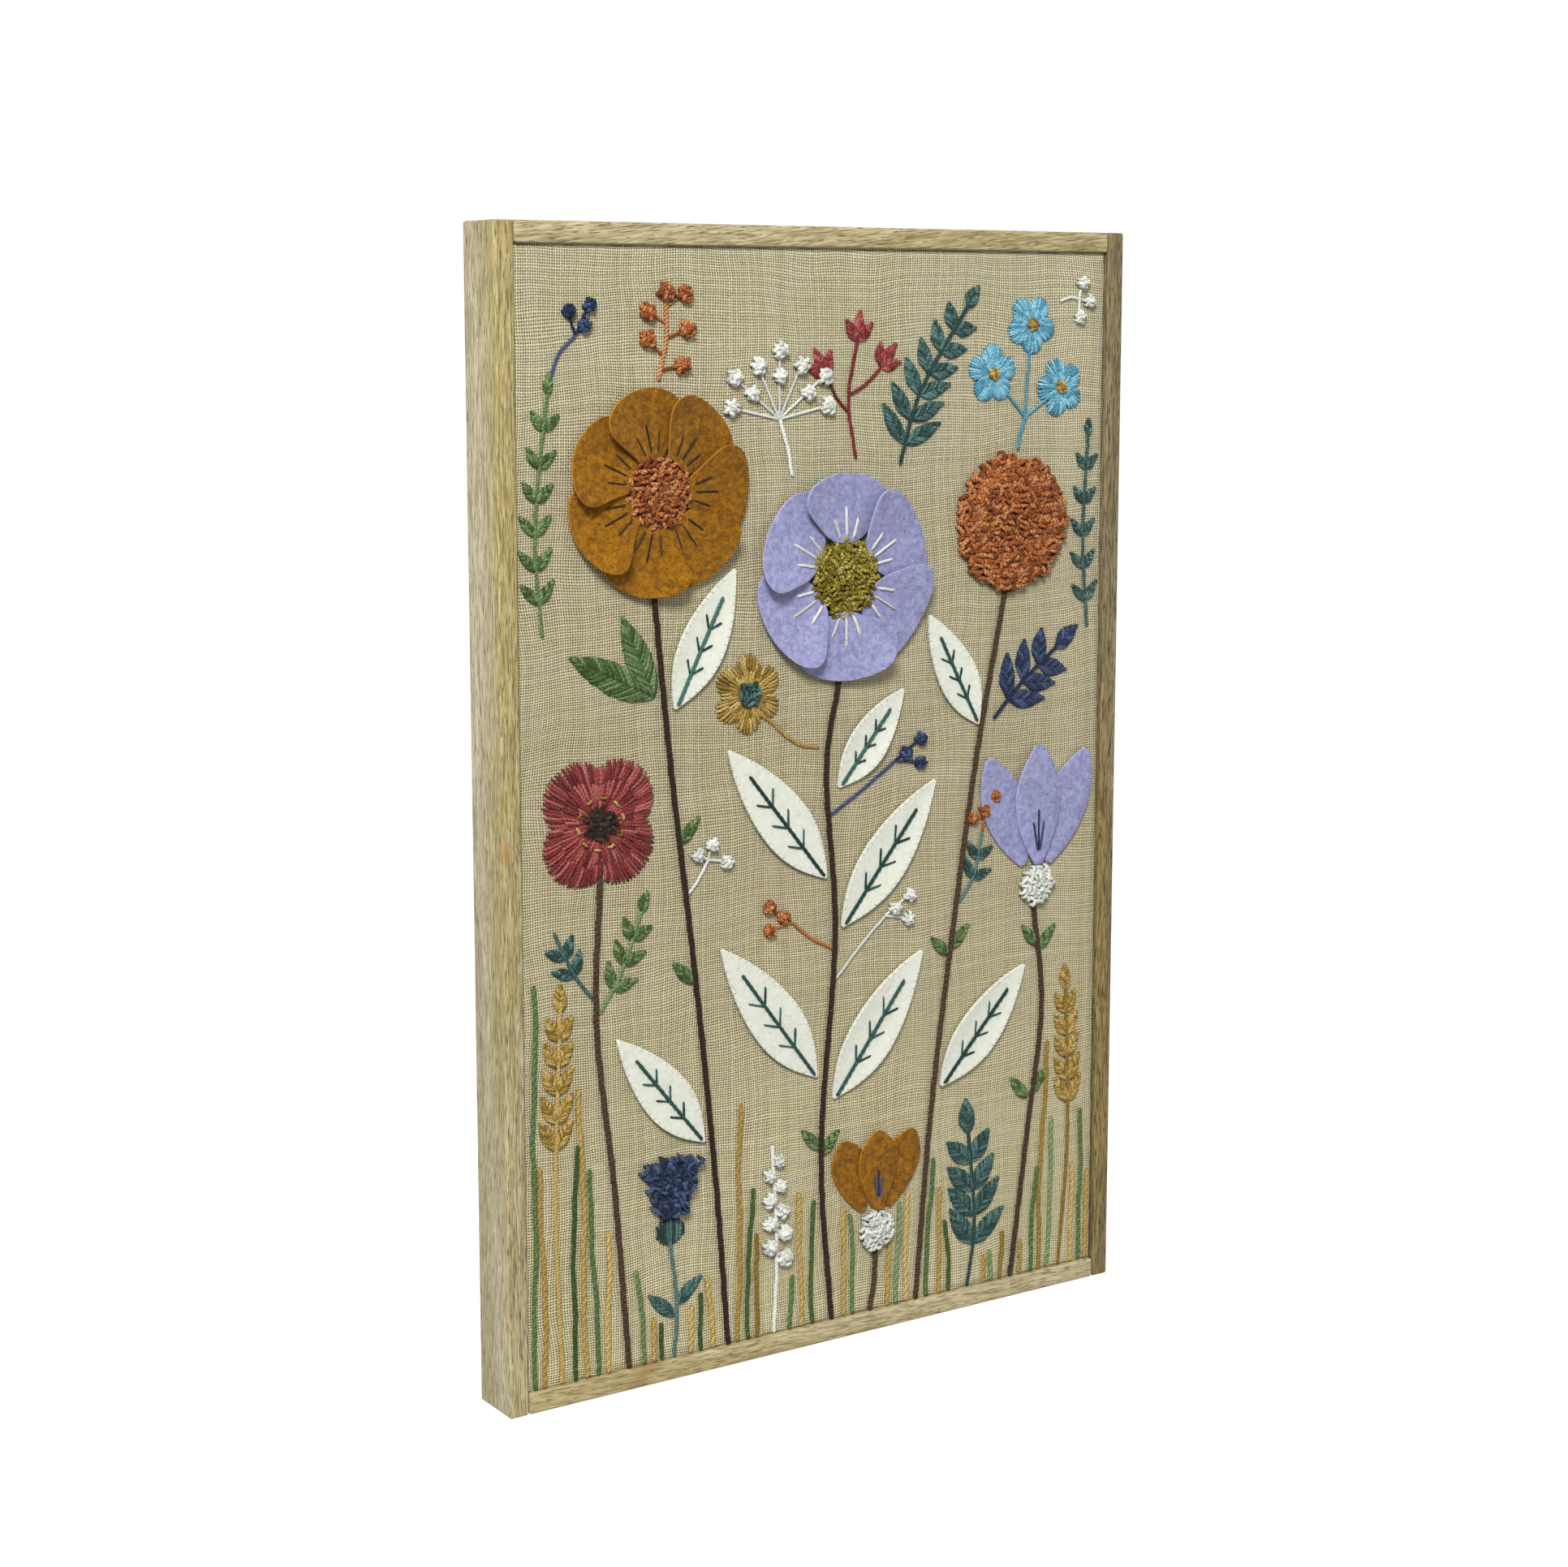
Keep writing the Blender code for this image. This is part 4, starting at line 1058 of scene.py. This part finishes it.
marigold = Yarn(21)
marigold.pile(*MARIGOLD, inside_round(MARIGOLD_RADIUS - 1.4), MARIGOLD_RADIUS, 3.35, 9.4, 1.5, 0.35)
marigold.mesh("marigold_loops", rust, "rust_yarn", "marigold")


# Poppy
# Red wool laid flat in two rounds of spoke-like stitches that make four round petals, with a small
# pad of dark loops at its middle and mustard knots round that.

POPPY = (-143, 306)
POPPY_RADIUS = 38.0


def lobed(radius, lobes, notch, turn):
    """The outline of a flower with round petals notched between them, by angle in degrees."""
    return lambda a: radius * (1 - notch + notch * abs(math.cos(lobes * math.radians(a - turn) / 2)) ** 0.6)


def spoke_stitches(yarn, centre, outline, rings, gap, radius=0.95):
    """Rounds of stitches that point outward; rings are shares of the outline, inner and outer."""
    for ring_number, (inner, outer) in enumerate(rings):
        around = 2 * math.pi * outline(0) * outer
        count = int(around / gap)
        for number in range(count):
            angle = 360 * (number + 0.5 * (ring_number % 2)) / count + yarn.chance.uniform(-1, 1)
            reach = outline(angle)
            start = reach * (inner + yarn.chance.uniform(-0.04, 0.04))
            end = reach * min(0.985, outer + yarn.chance.uniform(-0.04, 0.03))
            rise = 1.0 + 0.25 * (len(rings) - ring_number)
            yarn.stitch(turned(*centre, angle, start), turned(*centre, angle, end), radius, rise=rise)


poppy = Yarn(23)
spoke_stitches(poppy, POPPY, lobed(POPPY_RADIUS, 4, 0.28, 45), ((0.62, 1.0), (0.34, 0.72), (0.14, 0.46)), 1.75)
poppy.mesh("poppy_stitches", red, "red_yarn", "poppy")
poppy_pad = Yarn(24)
poppy_pad.pile(*POPPY, inside_round(8.0), 8.5, 2.7, 6.0, 1.25, low=1.2)
poppy_pad.mesh("poppy_loop_pad", brown, "brown_yarn", "poppy_pad")
poppy_knots = Yarn(25)
for number in range(10):
    x, h = turned(*POPPY, 36 * number + 10, 13.5)
    poppy_knots.loop(x, h, 36 * number + 100, 2.6, 3.9, 0.85, low=1.4)
poppy_knots.mesh("poppy_knots", mustard, "mustard_yarn")


# Brown stems
# One thick strand of brown wool each, couched to the cloth from its lower edge up to the flower.

STEM_RADIUS = 1.75
STEM_STEP = 0.95


def curve_through(points, step):
    """Points about step millimetres apart on a smooth curve through the given ones."""
    p = [Vector(q) for q in points]
    p = [2 * p[0] - p[1], *p, 2 * p[-1] - p[-2]]
    made = []
    for k in range(1, len(p) - 2):
        a, b, c, d = p[k - 1:k + 3]
        count = max(2, round((c - b).length / step))
        for i in range(count):
            t = i / count
            made.append(0.5 * (
                2 * b + (c - a) * t + (2 * a - 5 * b + 4 * c - d) * t * t + (3 * b - a - 3 * c + d) * t ** 3
            ))
    made.append(p[-2])
    return made


def couched(yarn, points, radius, pitch=6.5, depth=0.13, low=0.3, hairs=2.6, sides=9, shake=0.12):
    """A long strand on the cloth; it wavers a little and is not quite even."""
    line = curve_through(points, STEM_STEP)
    phase = yarn.chance.uniform(0, 6.28)
    path = []
    for i, at in enumerate(line):
        waver = shake * math.sin(i * 0.35 + phase) + 0.5 * shake * math.sin(i * 0.83 + 2 * phase)
        path.append((at.x + waver, at.y, low + radius * 0.62 + 0.06 * math.sin(i * 0.5 + phase)))
    yarn.run(path, (0, 0, 1), radius, sides, pitch, depth, 0.64, hairs)


STEMS = {
    "stem_cosmos": ((2, 12), (-5, 110), (4, 230), (-2, 320), (7, 373)),
    "stem_sunflower": ((-66, 12), (-74, 110), (-86, 220), (-100, 330), (-110, 425)),
    "stem_poppy": ((-128, 12), (-136, 110), (-146, 200), (-143, 278)),
    "stem_marigold": ((60, 12), (70, 120), (84, 220), (100, 320), (119, 412)),
    "stem_tulip": ((128, 12), (140, 100), (149, 170), (142, 231)),
    "stem_bud": ((28, 12), (31, 28), (32, 47)),
}

for number, (node, points) in enumerate(STEMS.items()):
    strand = Yarn(31 + number)
    couched(strand, points, STEM_RADIUS)
    strand.mesh(node + "_strand", brown, "brown_yarn", node)


# Fern, sprigs and wheat ears
# A thin stalk with opposite leaves of slanted flat stitches, all from one strand of wool.

STALK_RADIUS = 1.25
LEAF_GAP = 1.35
FROND_TIP = 0.97

# name: points, pairs, first share, leaf length, leaf half width, splay, shrink, wool, slot
FRONDS = {
    "fern": (((46, 484), (60, 524), (92, 570)), 6, 0.12, 27, 5.2, 48, 0.50, teal, "teal_yarn"),
    "teal_sprig": (((97, 12), (102, 50), (97, 104)), 4, 0.28, 29, 6.4, 42, 0.30, teal, "teal_yarn"),
    "navy_sprig": (((112, 340), (133, 360), (157, 378)), 3, 0.24, 27, 6.0, 46, 0.30, navy, "navy_yarn"),
    "wheat_left": (((-168, 12), (-171, 110), (-167, 216)), 5, 0.62, 19, 4.6, 30, 0.25, mustard, "mustard_yarn"),
    "wheat_right": (((164, 12), (170, 90), (167, 182)), 5, 0.58, 19, 4.6, 30, 0.25, mustard, "mustard_yarn"),
}


def stitched_leaf(yarn, x, h, angle, length, half, slant=9.0, radius=0.92):
    """A pointed leaf of flat stitches that slant from its middle to both edges."""
    def half_at(along):
        u = min(1.0, max(0.0, along / length))
        share = u / 0.45 / 2 if u < 0.45 else 0.5 + (u - 0.45) / 0.55 / 2
        return half * (0.05 + 0.95 * math.sin(math.pi * share) ** 0.85)
    reach = min(slant, length * 0.35)
    for way in (1, -1):
        along = 0.6
        while along < length - 1.2:
            end = min(length - 0.3, along + reach * (1 - along / length * 0.6))
            edge = half_at(end) * yarn.chance.uniform(0.88, 0.99)
            start = turned(x, h, angle, along, way * -0.25)
            stop = turned(x, h, angle, end, way * max(0.4, edge - 0.5))
            yarn.stitch(start, stop, radius, rise=1.2 + yarn.chance.uniform(-0.25, 0.25), points=5)
            along += LEAF_GAP


def along_curve(points, share):
    """The point at this share of a stalk, and its heading in degrees."""
    line = curve_through(points, 1.0)
    i = min(len(line) - 2, int(share * (len(line) - 1)))
    ahead = line[i + 1] - line[i]
    return line[i].x, line[i].y, math.degrees(math.atan2(ahead.y, ahead.x))


for number, (node, row) in enumerate(FRONDS.items()):
    points, pairs, first, length, half, splay, shrink, paint, slot = row
    frond = Yarn(41 + number)
    couched(frond, points, STALK_RADIUS, 4.5, 0.2, 0.2, 0.9, 8)
    for pair in range(pairs):
        x, h, heading = along_curve(points, first + (FROND_TIP - first) * pair / pairs)
        size = length * (1 - shrink * pair / pairs)
        for way in (1, -1):
            stitched_leaf(frond, x, h, heading + way * splay, size, half)
    x, h, heading = along_curve(points, FROND_TIP)
    stitched_leaf(frond, x, h, heading, length * (1 - shrink) + 2, half)
    frond.mesh(node + "_stitches", paint, slot, node)


# Green leaf pair
# Two broad leaves of flat green stitches beside the sunflower's stem.

greens = Yarn(51)
stitched_leaf(greens, -109, 368, 154, 56, 9.5, 13)
stitched_leaf(greens, -109, 368, 114, 48, 8.5, 12)
greens.mesh("green_leaf_stitches", green, "green_yarn", "green_leaves")


# Umbel, berries and white spike
# Knots of drawn-up loops on thin stalks.

UMBEL_ROOT = (-32, 510)
KNOT_SIZE = 5.4

umbel = Yarn(61)
couched(umbel, ((-24, 480), (-27, 495), UMBEL_ROOT), 1.2, 4.5, 0.2, 0.2, 0.7, 8)
for number in range(7):
    angle = 90 + 26 * (number - 3)
    reach = 31 + (5 if number % 2 else 0)
    end = turned(*UMBEL_ROOT, angle, reach)
    couched(umbel, (UMBEL_ROOT, turned(*UMBEL_ROOT, angle, reach / 2), end), 0.9, 4.0, 0.2, 0.2, 0.5, 7)
    umbel.knot(*end, KNOT_SIZE, 6.6)
    if number % 2:
        umbel.knot(*turned(*UMBEL_ROOT, angle, reach * 0.62), KNOT_SIZE - 0.6, 6.0)
umbel.mesh("umbel_knots", white, "white_yarn", "umbel")

BERRY_TWIG = ((-106, 531), (-101, 554), (-102, 578))
berries = Yarn(62)
couched(berries, BERRY_TWIG, 1.2, 4.5, 0.2, 0.2, 0.7, 8)
for number in range(5):
    x, h, heading = along_curve(BERRY_TWIG, 0.12 + 0.17 * number)
    way = 1 if number % 2 else -1
    end = turned(x, h, heading + way * 62, 13)
    couched(berries, ((x, h), turned(x, h, heading + way * 62, 6.5), end), 0.9, 4.0, 0.2, 0.2, 0.5, 7)
    berries.knot(*end, KNOT_SIZE, 6.6)
x, h, heading = along_curve(BERRY_TWIG, 0.97)
berries.knot(x, h, KNOT_SIZE, 6.6)
berries.mesh("berry_knots", rust, "rust_yarn", "berries")

SPIKE_PATH = ((-36, 12), (-34, 60), (-37, 118))
spike = Yarn(63)
couched(spike, SPIKE_PATH, 1.3, 4.5, 0.2, 0.2, 0.7, 8)
for number in range(9):
    x, h, heading = along_curve(SPIKE_PATH, 0.40 + 0.065 * number)
    way = 1 if number % 2 else -1
    end = turned(x, h, heading + way * 90, 5.0 - 0.25 * number)
    spike.knot(*end, 5.8 - 0.22 * number, 6.4)
spike.mesh("white_spike_knots", white, "white_yarn", "white_spike")


# Thistle
# A teal stalk, two leaves and a round cup of flat stitches, under a fan of navy loops.

THISTLE_CUP = (-102, 82)
THISTLE_CUP_RADIUS = 8.5
TUFT_FOOT = 91.4
TUFT_RISE = 28.0
TUFT_SPREAD = 11.5

cup = Yarn(65)
couched(cup, ((-100, 12), (-98, 40), (-102, 76)), STALK_RADIUS, 4.5, 0.2, 0.2, 0.9, 8)
stitched_leaf(cup, -99, 40, 40, 22, 4.4)
stitched_leaf(cup, -99, 34, 138, 22, 4.4)
for number in range(9):
    across = -THISTLE_CUP_RADIUS + 1.0 + number * (2 * THISTLE_CUP_RADIUS - 2.0) / 8
    drop = math.sqrt(max(0.0, THISTLE_CUP_RADIUS ** 2 - across ** 2)) - 0.4
    x, h = THISTLE_CUP
    cup.stitch((x + across, h - drop), (x + across * 1.03, h + drop), 1.05, rise=1.5)
cup.mesh("thistle_cup_stitches", teal, "teal_yarn", "thistle_cup")


def inside_fan(dx, dh):
    """More than 1 outside the thistle's fan, whose middle is this far above its foot."""
    u = (dh + TUFT_RISE / 2) / (TUFT_RISE + 3.0)
    half = THISTLE_CUP_RADIUS + TUFT_SPREAD * u - 1.0
    round_top = u + 0.12 * (dx / half) ** 2
    return 2.0 if u < 0.02 or round_top > 0.98 or abs(dx) > half else 0.5 * abs(dx) / half


tuft = Yarn(66)
tuft.pile(THISTLE_CUP[0], TUFT_FOOT + TUFT_RISE / 2, inside_fan, 24, 3.0, 8.0, 1.35)
tuft.mesh("thistle_loops", navy, "navy_yarn", "thistle_tuft")


# Blue flowers and buttercup
# Small flowers of flat stitches that point outward, with knots at their middles.

BLUE_FORK = (132, 508)
BLUE_HEADS = ((109, 532, 90), (157, 524, 110), (136, 559, 130))
BLUE_RADIUS = 17.0
BUTTERCUP = (-52, 366)
BUTTERCUP_RADIUS = 22.0

blue_flowers = Yarn(71)
blue_hearts = Yarn(72)
couched(blue_flowers, ((127, 490), (129, 499), BLUE_FORK), STALK_RADIUS, 4.5, 0.2, 0.2, 0.7, 8)
for x, h, turn in BLUE_HEADS:
    middle = ((BLUE_FORK[0] + x) / 2, (BLUE_FORK[1] + h) / 2)
    couched(blue_flowers, (BLUE_FORK, middle, (x, h)), 1.0, 4.0, 0.2, 0.2, 0.5, 7)
    outline = lobed(BLUE_RADIUS, 5, 0.36, turn)
    spoke_stitches(blue_flowers, (x, h), outline, ((0.45, 1.0), (0.12, 0.62)), 1.6, 0.88)
    blue_hearts.knot(x, h, 4.2, 5.4)
blue_flowers.mesh("blue_flower_stitches", blue, "blue_yarn", "blue_flowers")
blue_hearts.mesh("blue_flower_knots", mustard, "mustard_yarn")

buttercup = Yarn(73)
couched(buttercup, ((-7, 334), (-22, 338), (-42, 354)), 1.15, 4.5, 0.2, 0.2, 0.7, 8)
outline = lobed(BUTTERCUP_RADIUS, 6, 0.34, 90)
spoke_stitches(buttercup, BUTTERCUP, outline, ((0.55, 1.0), (0.2, 0.68)), 1.65)
buttercup.mesh("buttercup_stitches", mustard, "mustard_yarn", "buttercup")
buttercup_heart = Yarn(74)
buttercup_heart.pile(*BUTTERCUP, inside_round(6.2), 7, 2.6, 5.6, 1.2, low=1.2)
buttercup_heart.mesh("buttercup_loops", teal, "teal_yarn")


# Stray fibres
# Loose wool stands off the felt, and a few pale lint fibres lie on the cloth.

STRAY_RADIUS = 0.06


def stray_fibres(name, paint, slot, seed, places, low, high):
    """Thin curled hairs that lie on the work; places are (x, h, reach, count)."""
    fibres = Yarn(seed)
    for x, h, reach, count in places:
        laid = 0
        while laid < count:
            sx, sh = turned(x, h, fibres.chance.uniform(0, 360), reach * math.sqrt(fibres.chance.random()))
            if abs(sx) > 180 or not 20 < sh < 590 or not low <= height_at(sx, sh) <= high:
                laid += 0.2
                continue
            heading = fibres.chance.uniform(0, 360)
            turn = fibres.chance.uniform(-35, 35)
            step = fibres.chance.uniform(0.5, 1.3)
            path = []
            for _ in range(6):
                rise = height_at(sx, sh) + fibres.chance.uniform(0.02, 0.16)
                path.append((sx, sh, rise))
                sx, sh = turned(sx, sh, heading, step)
                heading += turn
            fibres.run(path, (0, 0, 1), STRAY_RADIUS, 3, 4.0, 0.0, 1.0, 0.0)
            laid += 1
    fibres.mesh(name, paint, slot)


stray_fibres("ochre_stray_fibres", ochre_fibre, "ochre_felt", 101, ((*SUNFLOWER, 56, 200), (*BUD, 45, 50)), 1.2, 12)
stray_fibres("lavender_stray_fibres", lavender_fibre, "lavender_felt", 102, ((*COSMOS, 58, 170), (143, 290, 40, 50)), 1.2, 12)
leaf_places = [(*leaf_frame(f"leaf_{n}")[0], 100, 14) for n in range(1, 10)]
stray_fibres("leaf_stray_fibres", white_fibre, "white_felt", 103, leaf_places, 1.2, 3.6)
stray_fibres("cloth_lint", white_fibre, "hessian", 104, ((0, 200, 190, 45), (0, 420, 190, 45)), -1, 0.1)


# Side sprigs
# Thin strands of wool branch off beside the stems and along the margins. They carry small leaves
# of flat stitches, buds of three short petals, and knots in threes.

KNOT_TRIAD = 4.3

# points, pairs, first share, leaf length, leaf half width, splay, shrink
left_sprig = Yarn(91)
right_sprig = Yarn(92)
SIDE_SPRIGS = (
    (left_sprig, ((-175, 404), (-178, 460), (-170, 528)), 6, 0.14, 15, 3.3, 40, 0.2),
    (left_sprig, ((-144, 206), (-131, 226), (-118, 258)), 3, 0.26, 16, 3.8, 42, 0.2),
    (right_sprig, ((179, 388), (175, 440), (178, 500)), 5, 0.14, 14, 3.2, 40, 0.2),
    (right_sprig, ((-147, 214), (-158, 228), (-170, 252)), 2, 0.40, 14, 3.6, 44, 0.2),
    (right_sprig, ((89, 238), (99, 252), (105, 276)), 2, 0.36, 14, 3.4, 46, 0.2),
)
for yarn, points, pairs, first, length, half, splay, shrink in SIDE_SPRIGS:
    couched(yarn, points, 1.1, 4.5, 0.2, 0.2, 0.9, 8)
    for pair in range(pairs):
        x, h, heading = along_curve(points, first + (FROND_TIP - first) * pair / pairs)
        for way in (1, -1):
            stitched_leaf(yarn, x, h, heading + way * splay, length * (1 - shrink * pair / pairs), half)
    if yarn is left_sprig or pairs == 5:
        x, h, heading = along_curve(points, FROND_TIP)
        stitched_leaf(yarn, x, h, heading, length * (1 - shrink), half)
STEM_LEAVES = (
    (141, 118, 48, 19, 4.2), (140, 116, 132, 19, 4.2), (147, 203, 50, 18, 4.0), (146, 205, 130, 18, 4.0),
    (-5, 106, 48, 18, 4.0), (-5, 110, 134, 18, 4.0), (83, 211, 46, 19, 4.2), (82, 208, 136, 17, 4.0),
    (-86, 214, 134, 19, 4.2), (-94, 290, 50, 18, 4.0),
)
for x, h, angle, length, half in STEM_LEAVES:
    stitched_leaf(left_sprig, x, h, angle, length, half)
left_sprig.mesh("green_side_sprigs", green, "green_yarn")
right_sprig.mesh("teal_side_sprigs", teal, "teal_yarn")

# wool, slot, seed, stalk, knot places
TRIADS = (
    ("white", white, "white_yarn", 104, (
        (((-91, 262), (-84, 269), (-77, 280)), ((-75, 288), (-66, 278), (-84, 283))),
        (((5, 205), (22, 222), (38, 236)), ((44, 240), (54, 246), (53, 233))),
        (((156, 572), (164, 574), (170, 573)), ((177, 572), (172, 582), (170, 563))),
    )),
    ("rust", rust, "rust_yarn", 103, (
        (((3, 222), (-12, 230), (-24, 240)), ((-30, 244), (-39, 237), (-39, 250))),
        (((105, 276), (106, 280), (106, 284)), ((106, 288), (97, 285), (113, 296))),
    )),
    ("navy", navy, "navy_yarn", 105, (
        (((1, 296), (22, 308), (44, 322)), ((51, 326), (61, 333), (61, 320))),
        (((-170, 528), (-164, 544), (-154, 554)), ((-149, 559), (-158, 566), (-146, 569))),
    )),
)
for tint, paint, slot, seed, groups in TRIADS:
    triad = Yarn(seed)
    for stalk, places in groups:
        couched(triad, stalk, 1.0, 4.0, 0.2, 0.2, 0.6, 7)
        for x, h in places:
            end = stalk[-1]
            half_way = ((x + end[0]) / 2, (h + end[1]) / 2)
            couched(triad, (end, half_way, (x, h)), 0.9, 4.0, 0.2, 0.2, 0.5, 7)
            triad.knot(x, h, KNOT_TRIAD, 5.8)
    triad.mesh(tint + "_knots_in_threes", paint, slot)

BUD_STALK = ((17, 488), (12, 520), (18, 552))
BUD_BRANCHES = (((13, 512), (5, 520), (-2, 532), 118), ((13, 522), (24, 528), (33, 536), 52))
buds = Yarn(99)
couched(buds, BUD_STALK, 1.15, 4.5, 0.2, 0.2, 0.8, 8)
bud_heads = [(18, 550, 84)]
for a, b, c, heading in BUD_BRANCHES:
    couched(buds, (a, b, c), 1.0, 4.0, 0.2, 0.2, 0.6, 7)
    bud_heads.append((*c, heading))
for x, h, heading in bud_heads:
    for fan in (38, -38, 0):
        stitched_leaf(buds, x, h, heading + fan, 17 if fan == 0 else 14, 4.0)
buds.mesh("red_bud_spray", red, "red_yarn")


# Grass
# Single strands of mustard and green wool that rise from the lower edge and lean a little. A blade
# stops short of whatever is sewn above it.

GRASS_RADIUS = 1.45
GRASS_CLEAR = 3.2
GRASS_STEP = 2.0
GRASS_SWAY = 0.75

# foot x, lean of the tip, wished height, wool
GRASS = (
    (-184, 2, 214, "green"), (-178, -2, 118, "mustard"), (-161, 3, 150, "green"), (-154, -3, 190, "mustard"),
    (-147, -4, 112, "green"), (-140, 0, 76, "mustard"), (-119, -3, 52, "green"), (-113, 4, 104, "mustard"),
    (-107, -2, 34, "green"), (-90, 3, 50, "mustard"), (-84, 3, 88, "green"), (-76, -2, 40, "mustard"),
    (-59, 2, 132, "mustard"), (-53, 3, 84, "green"), (-46, -2, 58, "mustard"), (-25, 2, 118, "green"),
    (-18, -1, 76, "mustard"), (-11, 2, 102, "green"), (10, 4, 110, "mustard"), (17, -3, 62, "green"),
    (40, 3, 52, "mustard"), (47, 4, 104, "green"), (53, 2, 70, "mustard"), (68, 5, 96, "green"),
    (76, 2, 62, "mustard"), (84, -4, 42, "green"), (108, 3, 46, "mustard"), (114, 4, 124, "green"),
    (121, 5, 84, "mustard"), (136, 3, 70, "mustard"), (143, 5, 62, "green"), (149, 5, 136, "mustard"),
    (156, 3, 90, "green"), (174, -3, 128, "mustard"), (180, -2, 160, "green"), (185, 1, 100, "mustard"),
)

grass = {"green": Yarn(81), "mustard": Yarn(82)}
breeze = random.Random(83)


def clear_of_sewing(x, h, clear):
    """Whether the cloth is bare within clear millimetres of a point."""
    ring = [turned(x, h, angle, clear) for angle in range(0, 360, 60)]
    return all(height_at(px, ph) < 0.2 for px, ph in [(x, h), *ring])


for foot, lean, wish, tint in GRASS:
    blade = []
    rise = 0.0
    phase = breeze.uniform(0, 6.28)
    while rise <= wish:
        share = rise / wish
        sway = GRASS_SWAY * (math.sin(rise / 17 + phase) + 0.4 * math.sin(rise / 6.5 + 3 * phase))
        at = (foot + lean * share ** 1.6 + sway, 12 + rise)
        if rise > 4 and not clear_of_sewing(*at, GRASS_CLEAR):
            break
        blade.append(at)
        rise += GRASS_STEP
    if len(blade) < 6:
        continue
    couched(grass[tint], [*blade[:-2:3], blade[-1]], GRASS_RADIUS, 9.0, 0.10, 0.1, 2.4, 8)
grass["green"].mesh("green_grass", green, "green_yarn")
grass["mustard"].mesh("mustard_grass", mustard, "mustard_yarn")
